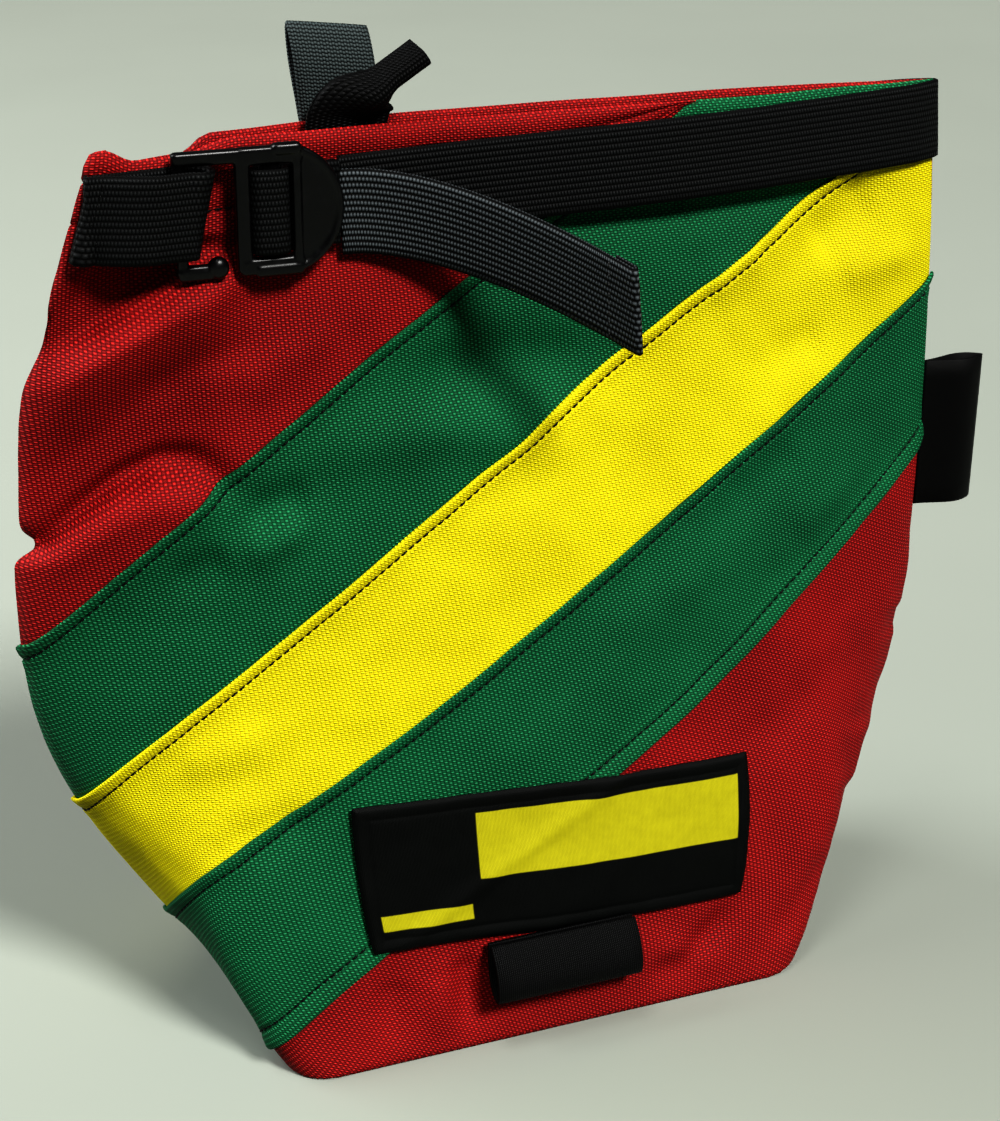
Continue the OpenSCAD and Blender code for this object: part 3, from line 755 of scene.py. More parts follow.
def panel(name, finish, fromS, toS, low, high, lowEdge, highEdge, node, slope=0.0):
    # low and high give the two edges' heights; lowEdge and highEdge name how they lie, and may change along s
    step = panelCut["step"]
    fine = foldS - panelCut["fine"]
    onBack = np.arange(fromS, fine, panelCut["backStep"])
    s = np.concatenate([onBack, np.arange(max(fromS, fine), toS, step), [foldS, toS]])
    s = np.unique(s[(s >= fromS) & (s <= toS)])
    s = s[np.concatenate([[True], np.diff(s) > 0.05])]
    lo, hi = low(s), high(s)
    lowRows = edgeRows([lowEdge(v) for v in s], lo, hi - lo, 1)
    highRows = edgeRows([highEdge(v) for v in s], hi, hi - lo, -1)
    inner = max(2, int(np.max(hi - lo) / step))
    first, last = lowRows[0][0], highRows[0][0]
    between = [(first + (last - first) * k / inner, np.zeros(len(s))) for k in range(1, inner)]
    z, out = np.array(lowRows[::-1] + between + highRows).transpose(1, 0, 2)
    sGrid = np.broadcast_to(s, z.shape)
    points = cloth(sGrid, np.clip(z, 0.3, bag["height"]), out)
    # the weave runs on round the turned edge
    turnAt = np.where(z > bag["height"] / 2, bag["height"], 0)
    flatZ = np.where(out < panelCut["turned"], 2 * turnAt - z, z)
    uv = np.stack([sGrid, flatZ], -1)
    thing = newPiece(name, points.reshape(-1, 3), gridFaces(*z.shape)[:, ::-1], uv.reshape(-1, 2), finish)
    size, area = cutSize(thing, slope), cutArea(thing)
    thicken(thing, panelCut["thickness"])
    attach(thing, "bag")
    standsFor(node)


def footS(key):
    # where a seam on the back meets the base
    return foldS - float(seamZ(key, foldS)) / sideSlope


def always(word):
    return lambda s: word


print("outer cloth")
tipS = 55.0          # where seam A runs into the mouth
stripeSlope = 0.64
height = bag["height"]
panel("upperRedPanel", redCloth, backSeamS, tipS + 4,
      lambda s: np.maximum(np.minimum(seamZ("A", s), height - 1), 0.0), lambda s: np.full(s.shape, height),
      lambda s: "under" if s > footS("A") else "base", always("rim"),
      "red_upper_panel")
panel("upperGreenStripe", greenCloth, footS("A") + 1, seamS,
      lambda s: np.maximum(seamZ("B", s), 0.0), lambda s: np.minimum(seamZ("A", s), height),
      lambda s: "under" if s > footS("B") else "base", lambda s: "over" if s < tipS else "rim",
      "green_upper_stripe", stripeSlope)
panel("yellowStripe", yellowCloth, footS("B") + 1, seamS,
      lambda s: np.maximum(seamZ("C", s), 0.0), lambda s: seamZ("B", s),
      lambda s: "under" if s > footS("C") else "base", always("over"),
      "yellow_stripe", stripeSlope)
lowerFoot = -seams["D"]["middle"] / seams["D"]["slope"]
panel("lowerGreenStripe", greenCloth, footS("C") + 1, seamS,
      lambda s: np.maximum(seamZ("D", s), 0.0), lambda s: seamZ("C", s),
      lambda s: "overWide" if s > lowerFoot else "base", always("over"),
      "green_lower_stripe", stripeSlope)
panel("lowerRedPanel", redCloth, lowerFoot + 1, seamS,
      lambda s: np.zeros(s.shape), lambda s: seamZ("D", s),
      always("base"), always("under"),
      "red_lower_panel")

# lining: fleece just inside the outer cloth; tip is how much narrower it is where the bag is a lens
lining = {"inset": 1.6, "thickness": 0.9, "low": 7.0, "high": 297.0, "side": 2, "tip": 24.0,
          "cells": 84, "rows": 90}


def liningPiece(name, side, node):
    z = np.linspace(lining["low"], lining["high"], lining["rows"])[:, None]
    reach = bag["halfRound"] - lining["side"] - lining["tip"] * smooth(z / bag["squareZ"])
    s = np.linspace(-1, 1, lining["cells"])[None, :] * reach
    zz = np.broadcast_to(z, s.shape)
    points = cloth(s if side > 0 else s + 2 * foldS, zz, -lining["inset"])
    uv = np.stack([s, zz], -1)
    thing = newPiece(name, points.reshape(-1, 3), gridFaces(lining["rows"], lining["cells"])[:, ::-1],
                     uv.reshape(-1, 2), fleece)
    size, area = cutSize(thing), cutArea(thing)
    thicken(thing, lining["thickness"])
    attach(thing, "bag")
    standsFor(node)


print("lining")
liningPiece("liningFront", 1, "lining_front")
liningPiece("liningBack", -1, "lining_back")

# base: red cloth below, a stiffener board, and the fleece over it
base = {
    "quarter": 28,       # points along a quarter of the outline
    "cloth": {"inset": 0.6, "low": 0.05, "rise": 0.35, "thickness": 0.9},
    "board": {"inset": 3.6, "low": 1.5, "thickness": 2.3},
    "fleece": {"inset": 4.2, "low": 4.1, "rise": 0.5, "thickness": 1.1},
}


def baseOutline(inset):
    # the base's rounded rectangle
    quarter = np.linspace(0, 1, base["quarter"])
    ring = []
    for turn in range(4):
        for q in (quarter if turn % 2 == 0 else quarter[::-1])[:-1]:
            s = q * bag["halfRound"]
            x, y, _ = onBag(s, 0.0)
            sx = 1 if turn in (0, 1) else -1
            sy = -1 if turn in (0, 3) else 1
            ring.append((sx * abs(x), sy * abs(y)))
    ring = np.array(ring)
    return ring * (1 - inset / np.abs(ring).max(0))


def discPiece(name, look, heights, finish):
    # concentric rings from the outline to the middle
    ring = baseOutline(look["inset"])
    shares = np.concatenate([[1.0, 0.985, 0.96], np.linspace(0.9, 0.02, 12)])
    points = [(x * k, y * k, heights(k)) for k in shares for x, y in ring]
    faces = tubeFaces(0, len(shares), len(ring))
    faces.append(tuple(range((len(shares) - 1) * len(ring), len(shares) * len(ring))))
    thing = newPiece(name, points, faces, [(x, y) for x, y, z in points], finish)
    thicken(thing, look["thickness"], 1.0)
    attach(thing, "bag")
    return thing


print("base")
under, board, over = base["cloth"], base["board"], base["fleece"]
basePiece = discPiece("basePanel", under, lambda k: under["low"] + under["rise"] * (1 - k ** 6), baseCloth)
standsFor("base_panel")
stiffener = discPiece("baseStiffener", board, lambda k: board["low"], foam)
standsFor("base_stiffener")
floorLining = discPiece("baseLining", over, lambda k: over["low"] + over["rise"] * (1 - k ** 4), fleece)
standsFor("base_lining")

# topstitching, with its distance from the seam, and where each row runs
stitch = {
    "length": 2.75, "gap": 0.2, "radius": 0.4, "below": -4.9, "above": 7.0, "rise": 0.36,
    "hem": 280, "hemRise": -0.1, "hemRows": [(-151.0, -60.0), (-457.0, -155.0)],
}
seamRows = [
    ("A", footS("A") + 10, 30.0, stitch["below"]), ("B", footS("B") + 10, 146.0, stitch["below"]),
    ("C", footS("C") + 10, 150.5, stitch["below"]), ("D", -118.0, -60.0, stitch["above"]),
    ("D", 8.0, 150.5, stitch["above"]),
]


def rowOn(s, z, out):
    return stitches("row", cloth(s, z, out), outward(s, z), thread, stitch["length"], stitch["gap"],
                    stitch["radius"])


def finePlaces(a, b, step=1.5):
    return np.linspace(a, b, max(3, int(abs(b - a) / step)))


def joinRows(name, rows, node):
    row = joinPieces(name, rows)
    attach(row, "bag")
    standsFor(node)


print("stitching")
rows = []
for key, fromS, toS, shift in seamRows:
    s = finePlaces(fromS, toS)
    z = seamZ(key, s) + shift + 0.12 * ripple(s, s, 7.0, 2.0)
    rows.append(rowOn(s, np.clip(z, 1, 299), stitch["rise"]))
joinRows("seamTopstitching", rows, "seam_topstitching")
rows = []
for fromS, toS in stitch["hemRows"]:
    s = finePlaces(fromS, toS)
    rows.append(rowOn(s, stitch["hem"] + 0 * s, stitch["hemRise"]))
joinRows("hemTopstitching", rows, "hem_topstitching")

# webbing strap that closes the mouth: highest at the side seam, lower towards both ends
web = {
    "width": 25.4, "thickness": 1.6, "cornerZ": 287.2, "rise": 0.033, "near": 1.0,
    "standOff": 2.4, "standAt": 52, "standReach": 52,      # where it stands off the cloth most
    "seamPull": 1.1, "seamReach": 7, "wave": 0.25, "waveSize": 30.0,
    "frontEnd": -66.0, "backEnd": 385.0, "anchorMargin": 3, "anchorEnd": 4,
    "stitch": (2.4, 0.3, 0.3),                             # a stitch's length, the gap and the radius
}


def webZ(s):
    return web["cornerZ"] - web["rise"] * np.abs(s - seamS)


def alongUp(s, z):
    up = onBag(s, np.minimum(z + 3, 299)) - onBag(s, z - 3)
    return up / np.linalg.norm(up, axis=-1, keepdims=True)


def strapFrame(s, z, out):
    # path, direction across and normal of webbing lying on the bag
    path = onBag(s, z) + outward(s, z) * np.asarray(out)[..., None]
    across = alongUp(s, z)
    ahead = aheadOf(path)
    normal = np.cross(ahead, across)
    normal /= np.linalg.norm(normal, axis=-1, keepdims=True)
    return path, np.cross(normal, ahead), normal


def rowOnBag(s, z, out, length, gap, radius):
    # a row sewn through webbing, out millimetres from the smooth bag
    lift = outward(s, z)
    return stitches("row", onBag(s, np.minimum(z, 299)) + lift * out, lift, thread, length, gap, radius)


print("closure strap")
s = np.concatenate([np.linspace(web["frontEnd"], 146, 110), np.linspace(147, 159, 28),
                    np.linspace(161, web["backEnd"], 120)])
lift = web["near"] + web["thickness"] / 2 + web["standOff"] * hump(s - web["standAt"], web["standReach"])
lift = lift - web["seamPull"] * hump(s - seamS, web["seamReach"])
lift = lift + web["wave"] * ripple(s, webZ(s), web["waveSize"], 5.5)
closure = strap("closureStrap", *strapFrame(s, webZ(s), lift), web["width"], web["thickness"], webbing)
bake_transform(closure)
standsFor("closure_strap")

# the strap's end is sewn down with a box and a cross
side = web["width"] / 2 - web["anchorMargin"]
boxEnd = web["backEnd"] - web["anchorEnd"]
boxStart = boxEnd - 2 * side
box = [(boxStart, -side), (boxEnd, -side), (boxEnd, side), (boxStart, side)]
rows = []
for first, last in [(0, 1), (1, 2), (2, 3), (3, 0), (0, 2), (3, 1)]:
    s, up = np.linspace(box[first], box[last], 14).T
    rows.append(rowOnBag(s, webZ(s) + up, web["near"] + web["thickness"] + 0.1, *web["stitch"]))
joinRows("strapAnchorStitching", rows, "strap_anchor_stitching")

# the strap's turn round the buckle's centre bar: round the bar, a short way back, and out under the tail
wrapTurn = {
    "first": [(-61.0, -12.0), (-70.0, -12.05), (-80.0, -12.1)],
    "bar": (-83.6, -14.95), "barRound": (2.9, 2.85), "lip": (-78.6, -15.8), "lipRound": (2.2, 2.1),
    "back": (-82, -79), "backY": -17.95, "backBow": 0.25,
    "last": [(-75.4, -14.0), (-73.0, -13.1), (-68.0, -12.9), (-60.2, -12.75)],
    "narrower": 0.6, "thickness": 1.25,
}
buckleZ = 280.2


def roundTurn(middle, reach, fromAngle, toAngle, count):
    # points of a turn, seen from above
    angles = np.radians(np.linspace(fromAngle, toAngle, count))
    return [(middle[0] + reach[0] * math.cos(a), middle[1] + reach[1] * math.sin(a)) for a in angles]


print("buckle webbing")
turnPath = wrapTurn["first"] + roundTurn(wrapTurn["bar"], wrapTurn["barRound"], 90, 270, 13)
backFrom, backTo = wrapTurn["back"]
for x in np.linspace(backFrom, backTo, 4):
    bow = wrapTurn["backBow"] * math.sin(math.pi * (x - backFrom) / (backTo - backFrom))
    turnPath.append((x, wrapTurn["backY"] - bow))
turnPath += roundTurn(wrapTurn["lip"], wrapTurn["lipRound"], -80, 40, 9)
turnPath += wrapTurn["last"]
turnPath = np.column_stack([turnPath, np.full(len(turnPath), buckleZ)])
upright = np.tile([0.0, 0.0, 1.0], (len(turnPath), 1))
wrap = strap("strapBuckleWrap", turnPath, upright, np.cross(aheadOf(turnPath), upright),
             web["width"] - wrapTurn["narrower"], wrapTurn["thickness"], webbing)
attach(wrap, "buckle")
standsFor("strap_buckle_wrap")

# the strap's free tail: its end is turned, folded back behind itself and sewn
tail = {
    "root": (-58.9, -12.6, 280.2), "reach": (73.3, -43.4, -27.0), "droop": (1.0, 1.8, 1.6), "lean": 13.0,
    "rootShift": 1.0, "rootDrop": 3.2, "skew": 24, "thickness": 1.5, "rings": 70,
    "foldRound": 0.8, "foldBack": (1.5, 3.0, 4.5, 6.0), "seamRing": 64, "seamHalf": 11.5,
    "stitch": (2.4, 0.4, 0.28),
}
t = np.linspace(0, 1, tail["rings"])
path = np.stack([tail["root"][k] + tail["reach"][k] * t ** tail["droop"][k] for k in range(3)], -1)
path[:, 0] -= tail["rootShift"] * (1 - t)
path[:, 2] -= tail["rootDrop"] * (1 - t) ** 1.5
ahead = aheadOf(path)
lean = np.radians(tail["lean"] * t)
across = np.stack([0 * t, -np.sin(lean), np.cos(lean)], -1)
across -= ahead * (across * ahead).sum(-1, keepdims=True)
across /= np.linalg.norm(across, axis=-1, keepdims=True)
normal = np.cross(ahead, across)
across -= ahead * (math.tan(math.radians(tail["skew"])) * smooth((t - 0.78) / 0.2))[:, None]
foldRound = tail["foldRound"]
fold = [path[-1] + ahead[-1] * foldRound * math.sin(a) - normal[-1] * foldRound * (1 - math.cos(a))
        for a in np.radians(np.linspace(15, 180, 9))]
fold += [path[-1] - normal[-1] * 2 * foldRound - ahead[-1] * back for back in tail["foldBack"]]
path = np.concatenate([path, fold])
across = np.concatenate([across, np.tile(across[-1], (len(fold), 1))])
tailPiece = strap("strapTail", path, across, np.cross(aheadOf(path), across), web["width"], tail["thickness"],
                  tailWebbingPaintedSheen)
at = tail["seamRing"]
rowPath = np.array([path[at] + across[at] * k + normal[at] * (tail["thickness"] / 2)
                    for k in np.linspace(-tail["seamHalf"], tail["seamHalf"], 18)])
tailRow = stitches("tailRow", rowPath, np.tile(normal[at], (len(rowPath), 1)), greyThread, *tail["stitch"])
tailPiece = joinPieces("strapTail", [tailPiece, tailRow])
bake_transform(tailPiece)
standsFor("strap_tail")

# keeper loop: out along the bag, round a fold, and back to its root
keeper = {
    "z": 281.4, "start": -146, "root": -149.4, "fold": -113.0, "lift": 10.0, "near": 0.6, "rise": 22.0,
    "bulge": 0.12, "crown": 0.5, "rootEnd": [(0.2, 1.3), (-0.4, 0.6), (-0.5, -0.4)],
    "sewn": (2.2, 5.0), "sewnHalf": 10.5, "sewnRise": 0.95, "stitch": (2.4, 0.35, 0.28),
}
print("keeper loop")
layer = web["thickness"]
radius = (keeper["lift"] - layer - keeper["near"]) / 2
low = keeper["near"] + layer / 2
spread = 2 * radius - layer          # how far the outer layer leaves the inner one
places = [(s1, low) for s1 in np.linspace(keeper["start"], keeper["fold"] - radius, 24)]
for a in np.radians(np.linspace(-80, 80, 17)):
    wide = radius * (1.0 + keeper["bulge"] * math.cos(a))
    places.append((keeper["fold"] - radius + wide * math.cos(a), low + radius + radius * math.sin(a)))
for s1 in np.linspace(keeper["fold"] - radius, keeper["root"] + 1, 40):
    rise = float(smooth((s1 - keeper["root"]) / keeper["rise"]))
    places.append((s1, low + layer + spread * rise + keeper["crown"] * math.sin(math.pi * rise)))
places += [(keeper["root"] + along, low + up) for along, up in keeper["rootEnd"]]
s, out = np.array(places).T
z = np.full(len(s), keeper["z"])
keeperPiece = strap("keeperLoop", *strapFrame(s, z, out), web["width"], layer, webbing)
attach(keeperPiece, "bag")
standsFor("keeper_loop")
rows = []
for back in keeper["sewn"]:
    out = low + layer + spread * float(smooth(back / keeper["rise"])) + keeper["sewnRise"]
    z = np.linspace(keeper["z"] - keeper["sewnHalf"], keeper["z"] + keeper["sewnHalf"], 14)
    rows.append(rowOnBag(np.full(len(z), keeper["root"] + back), z, out, *keeper["stitch"]))
joinRows("keeperLoopStitching", rows, "keeper_loop_stitching")

# hook buckle, one moulding: its parts are joined, remeshed as one and smoothed
buckle = {
    "y": -15.1, "low": 261.8, "high": 298.6, "voxel": 0.32, "smoothing": 6,
    "plateX": -79.2, "plateRadius": 19.2, "plateDepth": 2.6, "cutX": -73.6,
    "rimRadius": 18.2, "rimRound": 1.25, "rimForward": 0.85,
}


def finishPart(stretch=None):
    part = bpy.context.active_object
    if stretch is not None:
        part.scale = stretch
    bpy.ops.object.transform_apply(location=True, rotation=True, scale=True)
    return part


def barPart(x0, x1, z0, z1, depth, forward, bevel):
    middle = Vector(((x0 + x1) / 2, buckle["y"] - forward, (z0 + z1) / 2))
    deselect()
    bpy.ops.mesh.primitive_cube_add(size=1, location=middle * mm)
    part = finishPart(((x1 - x0) * mm, depth * mm, (z1 - z0) * mm))
    bpy.ops.object.mode_set(mode="EDIT")
    bpy.ops.mesh.select_all(action="SELECT")
    bpy.ops.mesh.bevel(offset=bevel * mm, segments=3, affect="EDGES")
    bpy.ops.object.mode_set(mode="OBJECT")
    return part


def roundPart(start, end, radius):
    a, b = Vector(start) * mm, Vector(end) * mm
    turn = (b - a).to_track_quat("Z", "Y").to_euler()
    deselect()
    bpy.ops.mesh.primitive_cylinder_add(vertices=32, radius=radius * mm, depth=(b - a).length,
                                        location=(a + b) / 2, rotation=turn)
    return finishPart()


def ballPart(at, radius, stretch=(1, 1, 1)):
    deselect()
    bpy.ops.mesh.primitive_uv_sphere_add(segments=28, ring_count=18, radius=radius * mm,
                                         location=Vector(at) * mm)
    return finishPart(stretch)


def tabPart():
    # the rounded thumb plate: a disc cut straight on its left, with a raised rim
    middle = Vector((buckle["plateX"], buckle["y"], buckleZ))
    forward = Vector((0, -buckle["rimForward"], 0))
    facing = (math.pi / 2, 0, 0)
    deselect()
    bpy.ops.mesh.primitive_cylinder_add(vertices=128, radius=buckle["plateRadius"] * mm,
                                        depth=buckle["plateDepth"] * mm,
                                        location=middle * mm, rotation=facing)
    disc = finishPart()
    deselect()
    bpy.ops.mesh.primitive_torus_add(major_segments=128, minor_segments=16,
                                     major_radius=buckle["rimRadius"] * mm,
                                     minor_radius=buckle["rimRound"] * mm,
                                     location=(middle + forward) * mm, rotation=facing)
    rim = finishPart()
    for part in (disc, rim):
        activate(part)
        bpy.ops.object.mode_set(mode="EDIT")
        bpy.ops.mesh.select_all(action="SELECT")
        bpy.ops.mesh.bisect(plane_co=(buckle["cutX"] * mm, 0, 0), plane_no=(-1, 0, 0),
                            clear_outer=True, use_fill=True)
        bpy.ops.object.mode_set(mode="OBJECT")
    return [disc, rim]


print("buckle")
lowZ, highZ, y = buckle["low"], buckle["high"], buckle["y"]
parts = [
    # bars go from left to right and from low to high, then how deep, how far forward and how round;
    # first the frame and its centre bar
    barPart(-91.4, -87.0, lowZ + 0.8, highZ - 0.4, 3.2, 0.2, 1.1),
    barPart(-90.6, -71.5, highZ - 5.1, highZ + 0.2, 3.4, 0.3, 1.2),
    barPart(-90.6, -71.5, lowZ, lowZ + 5.0, 3.4, 0.3, 1.2),
    barPart(-83.5, -78.4, lowZ + 1, highZ - 1, 1.9, 0.0, 0.7),
    # where the frame meets the thumb plate
    barPart(-75.0, -72.2, lowZ + 1.5, highZ - 1.5, 2.6, 0.9, 1.0),
    barPart(-80.5, -72.0, highZ - 2.6, highZ + 0.9, 4.0, 0.8, 1.3),
    barPart(-86.5, -72.0, lowZ - 0.6, lowZ + 3.2, 3.8, 0.7, 1.3),
    # the hook: its arm, the bar that the keeper loop holds, and the finger that comes back below
    barPart(-109.0, -89.0, highZ - 4.1, highZ, 3.4, 0.2, 1.1),
    roundPart((-107.0, y, lowZ + 2), (-107.0, y, highZ - 2), 1.7),
    roundPart((-107.4, y, lowZ + 2.2), (-97.4, y - 0.3, lowZ + 2.2), 1.75),
    barPart(-108.6, -97.5, lowZ - 0.2, lowZ + 4.4, 3.2, 0.1, 1.2),
    ballPart((-97.0, y - 0.5, lowZ + 3.1), 2.9, (1.1, 0.85, 1.15)),
    ballPart((-107.0, y, lowZ + 2.4), 2.0),
] + tabPart()
buckleBody = joinPieces("hookBuckle", parts)
remesh = buckleBody.modifiers.new("Remesh", "REMESH")
remesh.mode = "VOXEL"
remesh.voxel_size = buckle["voxel"] * mm
soften = buckleBody.modifiers.new("Soften", "SMOOTH")
soften.factor = 0.6
soften.iterations = buckle["smoothing"]
applyAll(buckleBody)
buckleBody.data.materials.clear()
buckleBody.data.materials.append(plastic)
buckleBody.data.polygons.foreach_set("use_smooth", [True] * len(buckleBody.data.polygons))
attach(buckleBody, "buckle")
standsFor("hook_buckle")

# woven patch, sewn over the lower seam
patch = {
    "s": 2.5, "z": 62.2, "width": 125.6, "height": 49.0, "tilt": -0.052, "near": 1.0, "thickness": 0.8,
    "spread": 0.985, "flare": 0.022, "overSeam": 0.7, "seamReach": 3.2, "wave": 0.15, "waveSize": 9.0,
    "corner": 0.5, "cornerFrom": (58, 18), "cornerReach": 7,      # its left corners lift a little
    "margin": 4.0, "rim": 5.5, "roll": 0.12, "edge": 0.9, "drawn": 0.25, "stitch": (2.2, 0.4, 0.26),
}
print("patch")


def patchPoints(u, v, out):
    # u to the right and v up, in millimetres from the patch's middle
    s = patch["s"] + u * (patch["spread"] + patch["flare"] * v / (patch["height"] / 2))
    z = patch["z"] + patch["tilt"] * u + v
    overSeam = patch["overSeam"] * hump(z - seamZ("D", s) + 0.5, patch["seamReach"])
    fromU, fromV = patch["cornerFrom"]
    corner = patch["corner"] * smooth((np.abs(u) - fromU) / patch["cornerReach"]) * (u < 0)
    corner = corner * smooth((np.abs(v) - fromV) / patch["cornerReach"])
    return cloth(s, z, out + overSeam + corner), outward(s, z)


def edgeDrop(u, v):
    # the rim is rolled at its edge and drawn down along its stitches
    far = np.minimum(patch["width"] / 2 - np.abs(u), patch["height"] / 2 - np.abs(v))
    rolled = patch["roll"] * hump(far - 1.6, 1.5) - patch["edge"] * hump(far, 0.5)
    return rolled - patch["drawn"] * hump(far - patch["margin"], 0.8)


def lane(half):
    # closer lines near the edges
    inner = np.linspace(-half + patch["rim"], half - patch["rim"], int(half))
    edge = np.array([0, 0.25, 0.6, 1.0, 1.6, 2.3, 3.0, 3.5, 4.0, 4.5, 5.0])
    return np.concatenate([-half + edge, inner, (half - edge)[::-1]])


patchTop = patch["near"] + patch["thickness"]
u, v = np.meshgrid(lane(patch["width"] / 2), lane(patch["height"] / 2))
wave = patch["wave"] * ripple(u, v, patch["waveSize"], 6.0)
points, _ = patchPoints(u, v, patchTop + edgeDrop(u, v) + wave)
uv = np.stack([u, v], -1)
patchPiece = newPiece("wovenPatch", points.reshape(-1, 3), gridFaces(*u.shape), uv.reshape(-1, 2), patchCloth)
thicken(patchPiece, patch["thickness"])
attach(patchPiece, "bag")
standsFor("woven_patch")
inW = patch["width"] / 2 - patch["margin"]
inH = patch["height"] / 2 - patch["margin"]
corners = [(-inW, -inH), (inW, -inH), (inW, inH), (-inW, inH), (-inW, -inH)]
rows = []
for a, b in zip(corners[:-1], corners[1:]):
    points, normals = patchPoints(*np.linspace(a, b, 60).T, patchTop - 0.05)
    rows.append(stitches("row", points, normals, thread, *patch["stitch"]))
joinRows("patchStitching", rows, "patch_stitching")

# brush loop: elastic sewn under the patch
brush = {"x": 0.2, "width": 52.0, "top": 39.5, "drop": 20.5, "bulge": 10.5, "full": 0.6, "off": 1.9,
         "thickness": 1.4, "open": 0.08125}
print("brush loop")
a = 2 * math.pi * np.linspace(brush["open"], 1 - brush["open"], 60)
z = brush["top"] - brush["drop"] / 2 + np.cos(a) * (brush["drop"] - brush["thickness"]) / 2
out = brush["off"] + brush["bulge"] * (1 - np.sin(a)) / 2 * np.sin(a / 2) ** brush["full"]
x = np.full(len(z), brush["x"])
path = np.stack([x, onBag(x, z)[:, 1] - out, z], -1)
across = np.tile([1.0, 0.0, 0.0], (len(path), 1))
normal = np.cross(aheadOf(path), across)
brushPiece = strap("brushLoop", path, across, normal, brush["width"], brush["thickness"], elastic)
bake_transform(brushPiece)
standsFor("brush_loop")


def foldedRing(opening, close, reach, tip, count):
    # the outline of webbing folded in two: how far along it, and to which side
    t = np.linspace(0, 1, count)
    half = opening / 2 * np.sin(math.pi * t ** 1.6) + close
    first = np.stack([reach * t, half], -1)
    return np.concatenate([first[:-1], [[reach + tip, 0.0]], first[::-1][1:] * [1, -1]])


# side label: a folded ribbon in the side seam
label = {
    "x": 151.6, "out": 22.4, "z": 176.0, "width": 54.0, "open": 5.4, "close": 0.42, "tip": 0.35,
    "thickness": 0.7, "lean": -0.03, "rowIn": 4.2, "rowHalf": 21, "rowOut": 1.75, "stitch": (0.9, 0.9, 0.2),
}
print("side label")
ring = foldedRing(label["open"], label["close"], label["out"], label["tip"], 24)
path = np.column_stack([label["x"] + ring[:, 0], ring[:, 1], np.full(len(ring), label["z"])])
across = np.tile([label["lean"], 0.0, 1.0], (len(path), 1))
across /= np.linalg.norm(across[0])
normal = np.cross(aheadOf(path), across)
labelPiece = strap("sideLabel", path, across, normal, label["width"], label["thickness"], ribbon)
up = np.linspace(-label["rowHalf"], label["rowHalf"], 30)
rowPath = np.column_stack([label["x"] + label["out"] - label["rowIn"] + label["lean"] * up,
                           np.full(len(up), -label["rowOut"]), label["z"] + up])
rowNormal = np.tile([0.0, -1.0, 0.0], (len(up), 1))
labelRow = stitches("labelRow", rowPath, rowNormal, greyThread, *label["stitch"])
labelPiece = joinPieces("sideLabel", [labelPiece, labelRow])
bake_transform(labelPiece)
standsFor("side_label")

# haul loop behind the mouth, leaning back
haul = {"x": -54.3, "y": 4.6, "z": 297.0, "tall": 28.5, "open": 4.4, "close": 0.85, "tip": 0.75, "lean": 8.0,
        "tilt": -5.0, "skew": -0.2, "thickness": 1.5, "narrower": 0.8}
print("haul loop")
ring = foldedRing(haul["open"], haul["close"], haul["tall"], haul["tip"], 34)
c, d = math.cos(math.radians(haul["lean"])), math.sin(math.radians(haul["lean"]))
up, back = ring[:, 0], -ring[:, 1]
local = np.stack([0 * up, back * c + up * d, up * c - back * d], -1)
tilt = Matrix.Rotation(math.radians(haul["tilt"]), 3, "Y")
path = np.array([tilt @ Vector(v) for v in local]) + [haul["x"], haul["y"], haul["z"]]
across = np.tile(np.array(tilt @ Vector((1, 0, haul["skew"])).normalized()), (len(path), 1))
normal = np.cross(aheadOf(path), across)
haulPiece = strap("haulLoop", path, across, normal, web["width"] - haul["narrower"], haul["thickness"],
                  haulWebbing)
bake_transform(haulPiece)
standsFor("haul_loop")

# pull tab: webbing that folds in two along its length and turns up to the right
pull = {
    "rings": 40, "lanes": 13, "half": 12.2, "webHalf": 12.7, "thickness": 1.5, "crown": 0.7, "gap": 1.5,
    # how far it shuts, swings and narrows, with the shares of its length where each starts and goes on
    "shut": 84, "shutOver": (0.12, 0.5), "swing": 62, "swingOver": (0.15, 0.55),
    "narrows": 0.25, "narrowsOver": (0.3, 0.4),
    "spine": [(-55.0, -1.9, 296.5), (-54.0, -2.1, 303.0), (-50.5, -2.6, 309.0), (-44.5, -3.2, 314.0),
              (-34.5, -3.8, 320.6)],
    "toward": (0.42, -0.85, -0.34),      # the way the closed fold faces
}


def growth(t, start, over):
    return float(smooth((t - start) / over))


print("pull tab")
points = []
uv = []
spine = np.array(pull["spine"])
steps = wayAlong(spine)
toward = np.array(pull["toward"])
for t in np.linspace(0, 1, pull["rings"]):
    way = t * steps[-1]
    middle = np.array([np.interp(way, steps, spine[:, k]) for k in range(3)])
    shut = math.radians(pull["shut"]) * growth(t, *pull["shutOver"])
    swing = math.radians(pull["swing"]) * growth(t, *pull["swingOver"])
    flat = np.array([math.cos(swing), 0, -math.sin(swing)])
    reach = pull["half"] * (1 - pull["narrows"] * growth(t, *pull["narrowsOver"]))
    for w in np.linspace(-1, 1, pull["lanes"]):
        crown = (1 - abs(w) ** 1.5) * reach * pull["crown"]
        gap = math.copysign(pull["gap"], w) * min(1, abs(w) * 3) ** 0.7
        sideways = flat * (math.cos(shut) * w * reach + math.sin(shut) * gap)
        points.append(middle + sideways + toward * math.sin(shut) * crown)
        uv.append((w * pull["webHalf"], way))
# the pull tab wears the darker copy of the webbing, which is painted shade
pullTab = newPiece("pullTab", points, gridFaces(pull["rings"], pull["lanes"]), uv, webbingPaintedShade)
thicken(pullTab, pull["thickness"], 0.0)
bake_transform(pullTab)
standsFor("pull_tab")


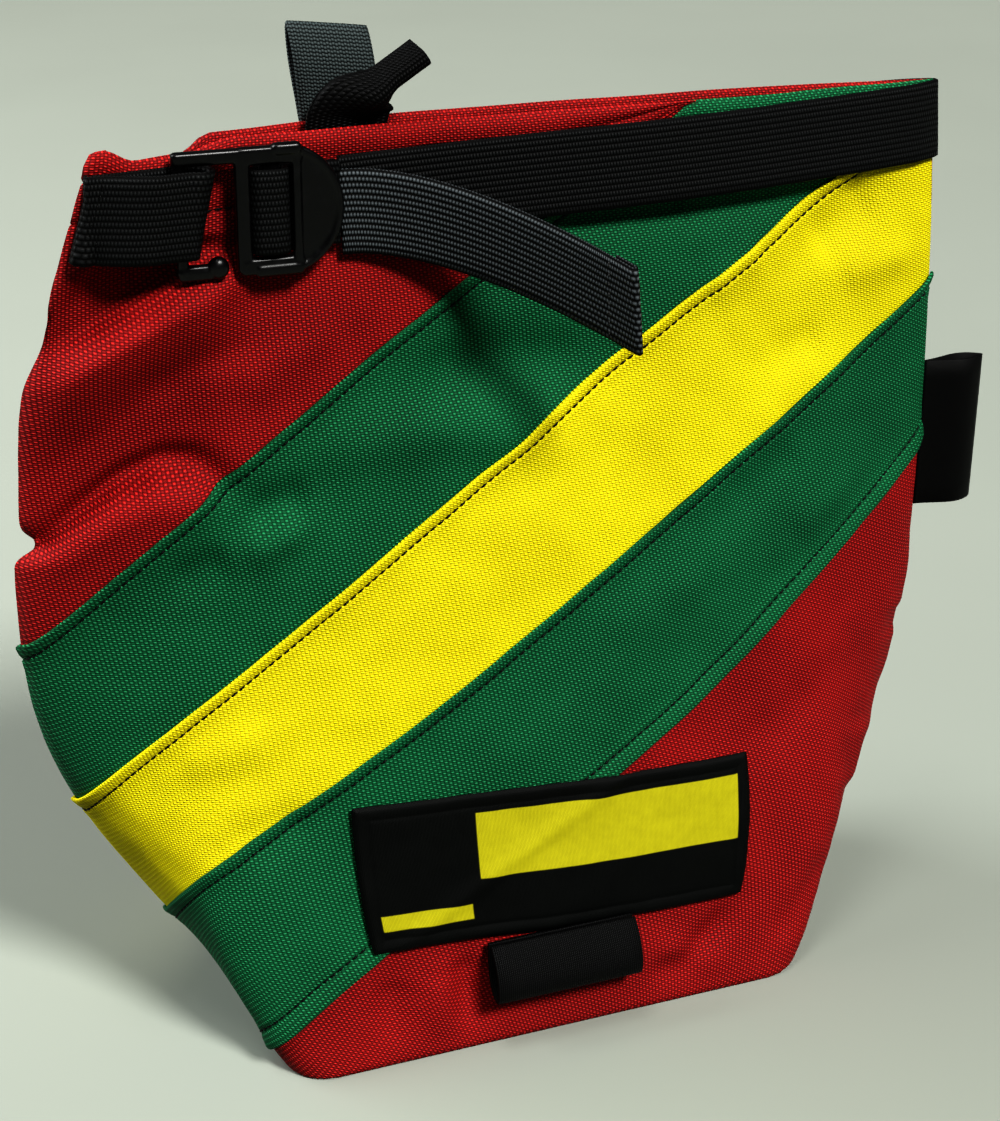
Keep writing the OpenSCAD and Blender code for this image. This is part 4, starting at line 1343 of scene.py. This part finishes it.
def plainFinish(name, colour, roughness):
    material, tree, shader = startFinish(name, roughness, Specular_IOR_Level=0.1)
    at = placeWires(tree, "Object")[0]
    tone = cloudy(at, 3.0, 3.0).between(0.2, 0.8)
    darker = tuple(c * 0.96 for c in colour)
    linkTo(tree, shader, Base_Color=tone.mix((*darker, 1), (*colour, 1)))
    return material


print("floor, light and camera")
stageLook = {
    "floor": (0.30, 0.322, 0.284), "size": 40.0, "roughness": 0.9, "far": (0.37, 0.40, 0.35, 1),
    "room": (0.62, 0.66, 0.66, 1), "roomStrength": 0.13,
}
deselect()
bpy.ops.mesh.primitive_plane_add(size=stageLook["size"], location=(0, 0, 0))
floorPlane = bpy.context.active_object
floorPlane.name = "floor"
floorPlane.data.materials.append(plainFinish("paleFloor", stageLook["floor"], stageLook["roughness"]))
floorPlane.visible_diffuse = False       # a studio floor that throws no light up under the bag

lights = [
    {"name": "keyLight", "from": (0.52, -1.30, 1.72), "strength": 3.45, "angle": 14.0,
     "colour": (1.0, 0.995, 0.97)},
    {"name": "topLight", "from": (-0.30, -0.12, 1.5), "strength": 0.7, "angle": 18.0,
     "colour": (1.0, 0.99, 0.97)},
]
bagMiddle = (0, 0, 0.13)
windowLook = {"from": (-1.25, 0.55, 1.20), "size": (1.0, 0.7), "power": 22.0, "colour": (0.97, 0.99, 1.0)}


def placeLamp(name, kind, start, colour, energy):
    # a lamp at start, turned towards the bag
    lamp = bpy.data.lights.new(name, kind)
    lamp.energy = energy
    lamp.color = colour
    thing = bpy.data.objects.new(name, lamp)
    thing.location = start
    aim = Vector(bagMiddle) - Vector(start)
    thing.rotation_euler = aim.to_track_quat("-Z", "Y").to_euler()
    bpy.context.collection.objects.link(thing)
    return lamp


for spec in lights:
    lamp = placeLamp(spec["name"], "SUN", spec["from"], spec["colour"], spec["strength"])
    lamp.angle = math.radians(spec["angle"])
lamp = placeLamp("windowLight", "AREA", windowLook["from"], windowLook["colour"], windowLook["power"])
lamp.shape = "RECTANGLE"
lamp.size, lamp.size_y = windowLook["size"]

# the room lights the bag dimly, and looks like the floor's far end
world = bpy.data.worlds.new("room")
world.use_nodes = True
room = Wire(world.node_tree)
shine = room.node("ShaderNodeBackground", None,
                  {"Color": stageLook["room"], "Strength": stageLook["roomStrength"]})
seen = room.node("ShaderNodeBackground", None, {"Color": stageLook["far"], "Strength": 1.0})
both = room.node("ShaderNodeMixShader", None, {0: room.node("ShaderNodeLightPath"), 1: shine, 2: seen})
world.node_tree.links.new(both.socket, world.node_tree.nodes["World Output"].inputs["Surface"])
bpy.context.scene.world = world
bpy.context.scene.view_settings.view_transform = "Standard"
bpy.context.scene.view_settings.look = "High Contrast"

view = {"at": (-0.2175, -0.5553, 0.4402), "yaw": 21.02, "down": 25.93, "roll": 0.96,
        "lens": 64.47, "film": 36.0}
camera = bpy.data.cameras.new("camera")
camera.lens = view["lens"]
camera.sensor_width = view["film"]
camera.clip_start = 0.02
cameraObject = bpy.data.objects.new("camera", camera)
turn = Matrix.Identity(4)
for angle, axis in [(-view["yaw"], "Z"), (90 - view["down"], "X"), (view["roll"], "Z")]:
    turn = turn @ Matrix.Rotation(math.radians(angle), 4, axis)
cameraObject.matrix_world = Matrix.Translation(Vector(view["at"])) @ turn
bpy.context.collection.objects.link(cameraObject)
bpy.context.scene.camera = cameraObject
